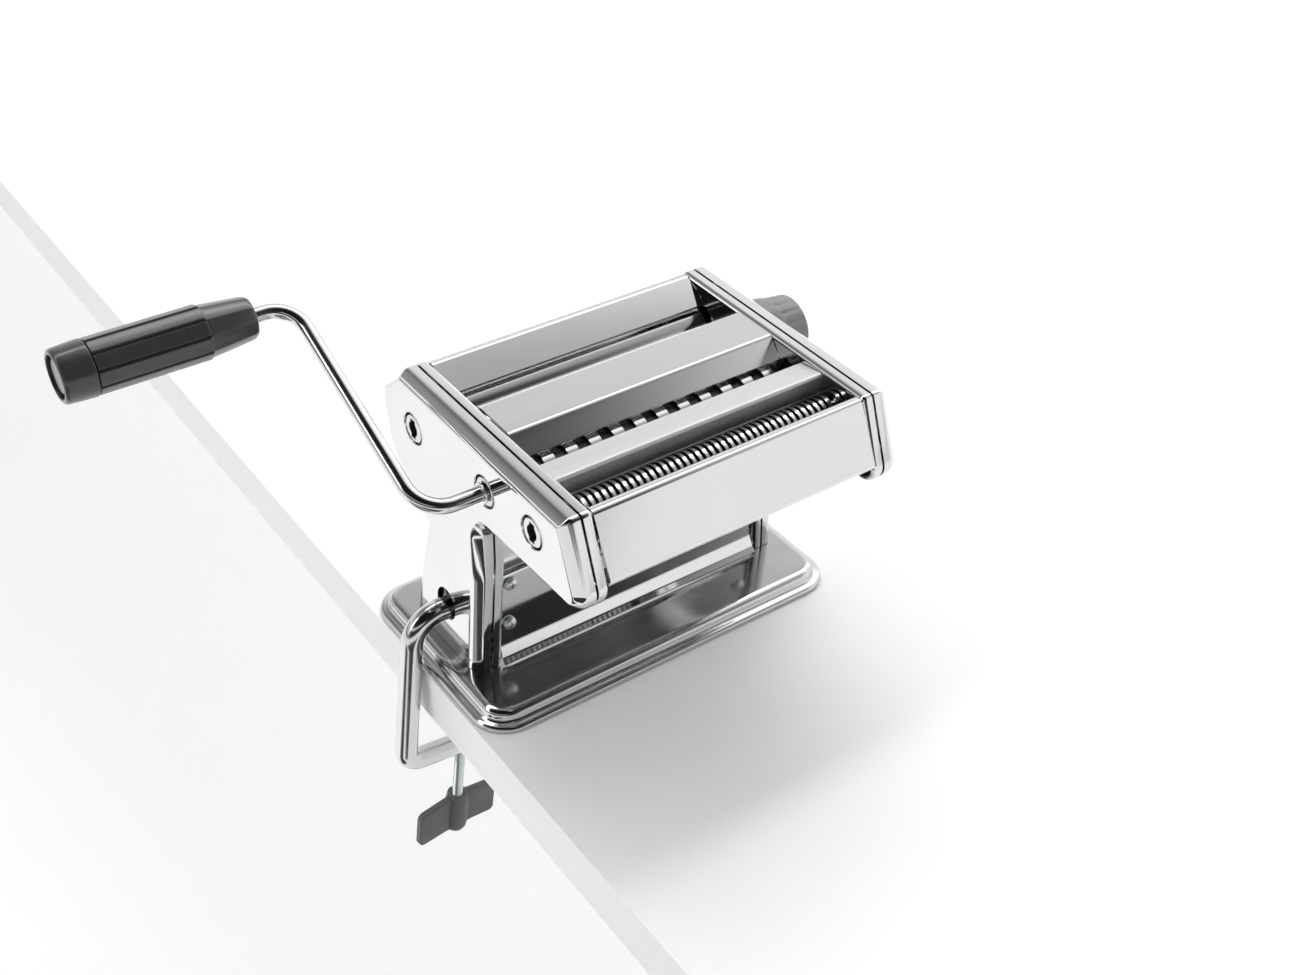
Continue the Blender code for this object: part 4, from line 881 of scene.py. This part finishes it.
plane("worktop", [(-0.112, -2.5, -0.0006), (3, -2.5, -0.0006), (3, 3, -0.0006), (-0.112, 3, -0.0006)], PALE, -0.0306)
FLOOR = noise_into(principled("floor_paper", (0.86, 0.86, 0.86), 0.8, 0.0), "Roughness", 8, 0.7, 0.9)
colour_noise(FLOOR, 3, (0.84, 0.84, 0.84), (0.88, 0.88, 0.88))
glow = FLOOR.node_tree.nodes["Principled BSDF"]
glow.inputs["Emission Color"].default_value = (1, 1, 1, 1)
glow.inputs["Emission Strength"].default_value = 0.3
plane("floor", [(-25, -25, -0.75), (25, -25, -0.75), (25, 25, -0.75), (-25, 25, -0.75)], FLOOR)

world = bpy.data.worlds.new("studio")
bpy.context.scene.world = world
world.use_nodes = True
t = world.node_tree
bg = t.nodes["Background"]
bg.inputs["Strength"].default_value = 1.0


def node(kind, **inputs):
    made = t.nodes.new(kind)
    for key, value in inputs.items():
        made.inputs[key.replace("_", " ")].default_value = value
    return made


def graded(source, low, high, to_low, to_high):
    step = node("ShaderNodeMapRange", From_Min=low, From_Max=high, To_Min=to_low, To_Max=to_high)
    step.interpolation_type = "SMOOTHSTEP"
    t.links.new(source, step.inputs["Value"])
    return step.outputs["Result"]


def maths(kind, first, second):
    step = t.nodes.new("ShaderNodeMath")
    step.operation = kind
    for k, value in enumerate((first, second)):
        if isinstance(value, (int, float)):
            step.inputs[k].default_value = value
        else:
            t.links.new(value, step.inputs[k])
    return step.outputs[0]


# a white studio: dark high up on the photographer's side, grey at the left, with a long lamp overhead and a bright slit at the left
where = t.nodes.new("ShaderNodeTexCoord").outputs["Generated"]
split = t.nodes.new("ShaderNodeSeparateXYZ")
t.links.new(where, split.inputs[0])


def along_way(direction):
    step = t.nodes.new("ShaderNodeVectorMath")
    step.operation = "DOT_PRODUCT"
    t.links.new(where, step.inputs[0])
    step.inputs[1].default_value = direction
    return step.outputs["Value"]


def band(source, centre, half, soft, amount):
    off = maths("ABSOLUTE", maths("SUBTRACT", source, centre), 0)
    return graded(off, half, half + soft, amount, 0.0)


facing = graded(along_way((-0.42, -0.72, 0.55)), 0.48, 0.62, 0.0, 0.95)
room = maths("SUBTRACT", 1.0, maths("MULTIPLY", facing, graded(split.outputs["Z"], -0.02, 0.04, 0.0, 1.0)))
upper = graded(split.outputs["Z"], 0.5, 0.7, 1.0, 0.5)
to_left = graded(split.outputs["X"], -0.2, 0.3, 1.0, 0.0)
above = graded(split.outputs["Z"], 0.12, 0.3, 0.0, 1.0)
grey_left = maths("SUBTRACT", 1.0, maths("MULTIPLY", maths("MULTIPLY", to_left, above), 0.66))
far_left = graded(split.outputs["X"], -0.45, -0.2, 1.0, 0.0)
wall = maths("SUBTRACT", 1.0, maths("MULTIPLY", band(split.outputs["Z"], 0.03, 0.05, 0.08, 0.8), far_left))
value = maths("MULTIPLY", maths("MULTIPLY", maths("MULTIPLY", room, upper), grey_left), wall)
slit = maths("MULTIPLY", band(split.outputs["Z"], 0.36, 0.03, 0.05, 0.8), far_left)
over = along_way((0.0, 0.90, -0.433))
lamp = maths("MULTIPLY", band(over, 0.0, 0.05, 0.05, 4.5), graded(split.outputs["Z"], 0.2, 0.5, 0.0, 1.0))
halo = maths("MULTIPLY", band(over, -0.2, 0.2, 0.1, 0.8), graded(split.outputs["X"], 0.1, 0.35, 0.0, 1.0))
lamp = maths("ADD", lamp, maths("MULTIPLY", halo, graded(split.outputs["Z"], 0.5, 0.66, 0.0, 1.0)))
value = maths("ADD", value, maths("ADD", slit, lamp))
seen = t.nodes.new("ShaderNodeLightPath").outputs["Is Camera Ray"]
value = maths("MAXIMUM", value, seen)
tint = t.nodes.new("ShaderNodeCombineColor")
for k in range(3):
    t.links.new(value, tint.inputs[k])
t.links.new(tint.outputs[0], bg.inputs["Color"])
bpy.context.scene.view_settings.view_transform = "Standard"


def area(name, place, target, size, power):
    data = bpy.data.lights.new(name, "AREA")
    data.shape = "RECTANGLE"
    data.size, data.size_y = size
    data.energy = power
    obj = bpy.data.objects.new(name, data)
    bpy.context.scene.collection.objects.link(obj)
    d = (Vector(target) - Vector(place)).normalized()
    obj.matrix_world = Matrix.Translation(place) @ d.to_track_quat("-Z", "Y").to_matrix().to_4x4()
    obj.visible_glossy = False
    return obj


area("key", (0.5, 1.1, 1.3), (0, 0, 0.05), (1.5, 1.0), 20)
area("side", (-1.5, 0.3, 0.9), (-0.1, 0, 0.05), (1.0, 1.0), 7)
area("fill", (0.3, -1.4, 1.2), (0, 0, 0.05), (1.4, 1.0), 8)

# dark and grey sheets outside the picture, standing in for the shade under the worktop and on the photographer's side:
# painted shade that the polished metal mirrors
SHADE = noise_into(principled("dark_shade_sheet", (0.03, 0.03, 0.032), 0.9, 0.0), "Roughness", 5, 0.85, 0.95)
HALF_SHADE = noise_into(principled("grey_shade_sheet", (0.3, 0.3, 0.302), 0.9, 0.0), "Roughness", 5, 0.85, 0.95)
for name, near, far, low, shade_mat in (("shade_low_a", -0.03, -0.32, -0.700, SHADE), ("shade_low_b", -0.62, -2.0, -0.700, SHADE),
                                    ("shade_low_c", 0.12, -0.38, -0.705, HALF_SHADE), ("shade_low_d", -0.54, -2.1, -0.705, HALF_SHADE)):
    corners = [(-2.2, far, low), (-0.4, far, low), (-0.4, near, low), (-2.2, near, low)]
    card = plane(name, corners, shade_mat)
    card.visible_camera = False
    card.visible_shadow = False
    card.visible_diffuse = False
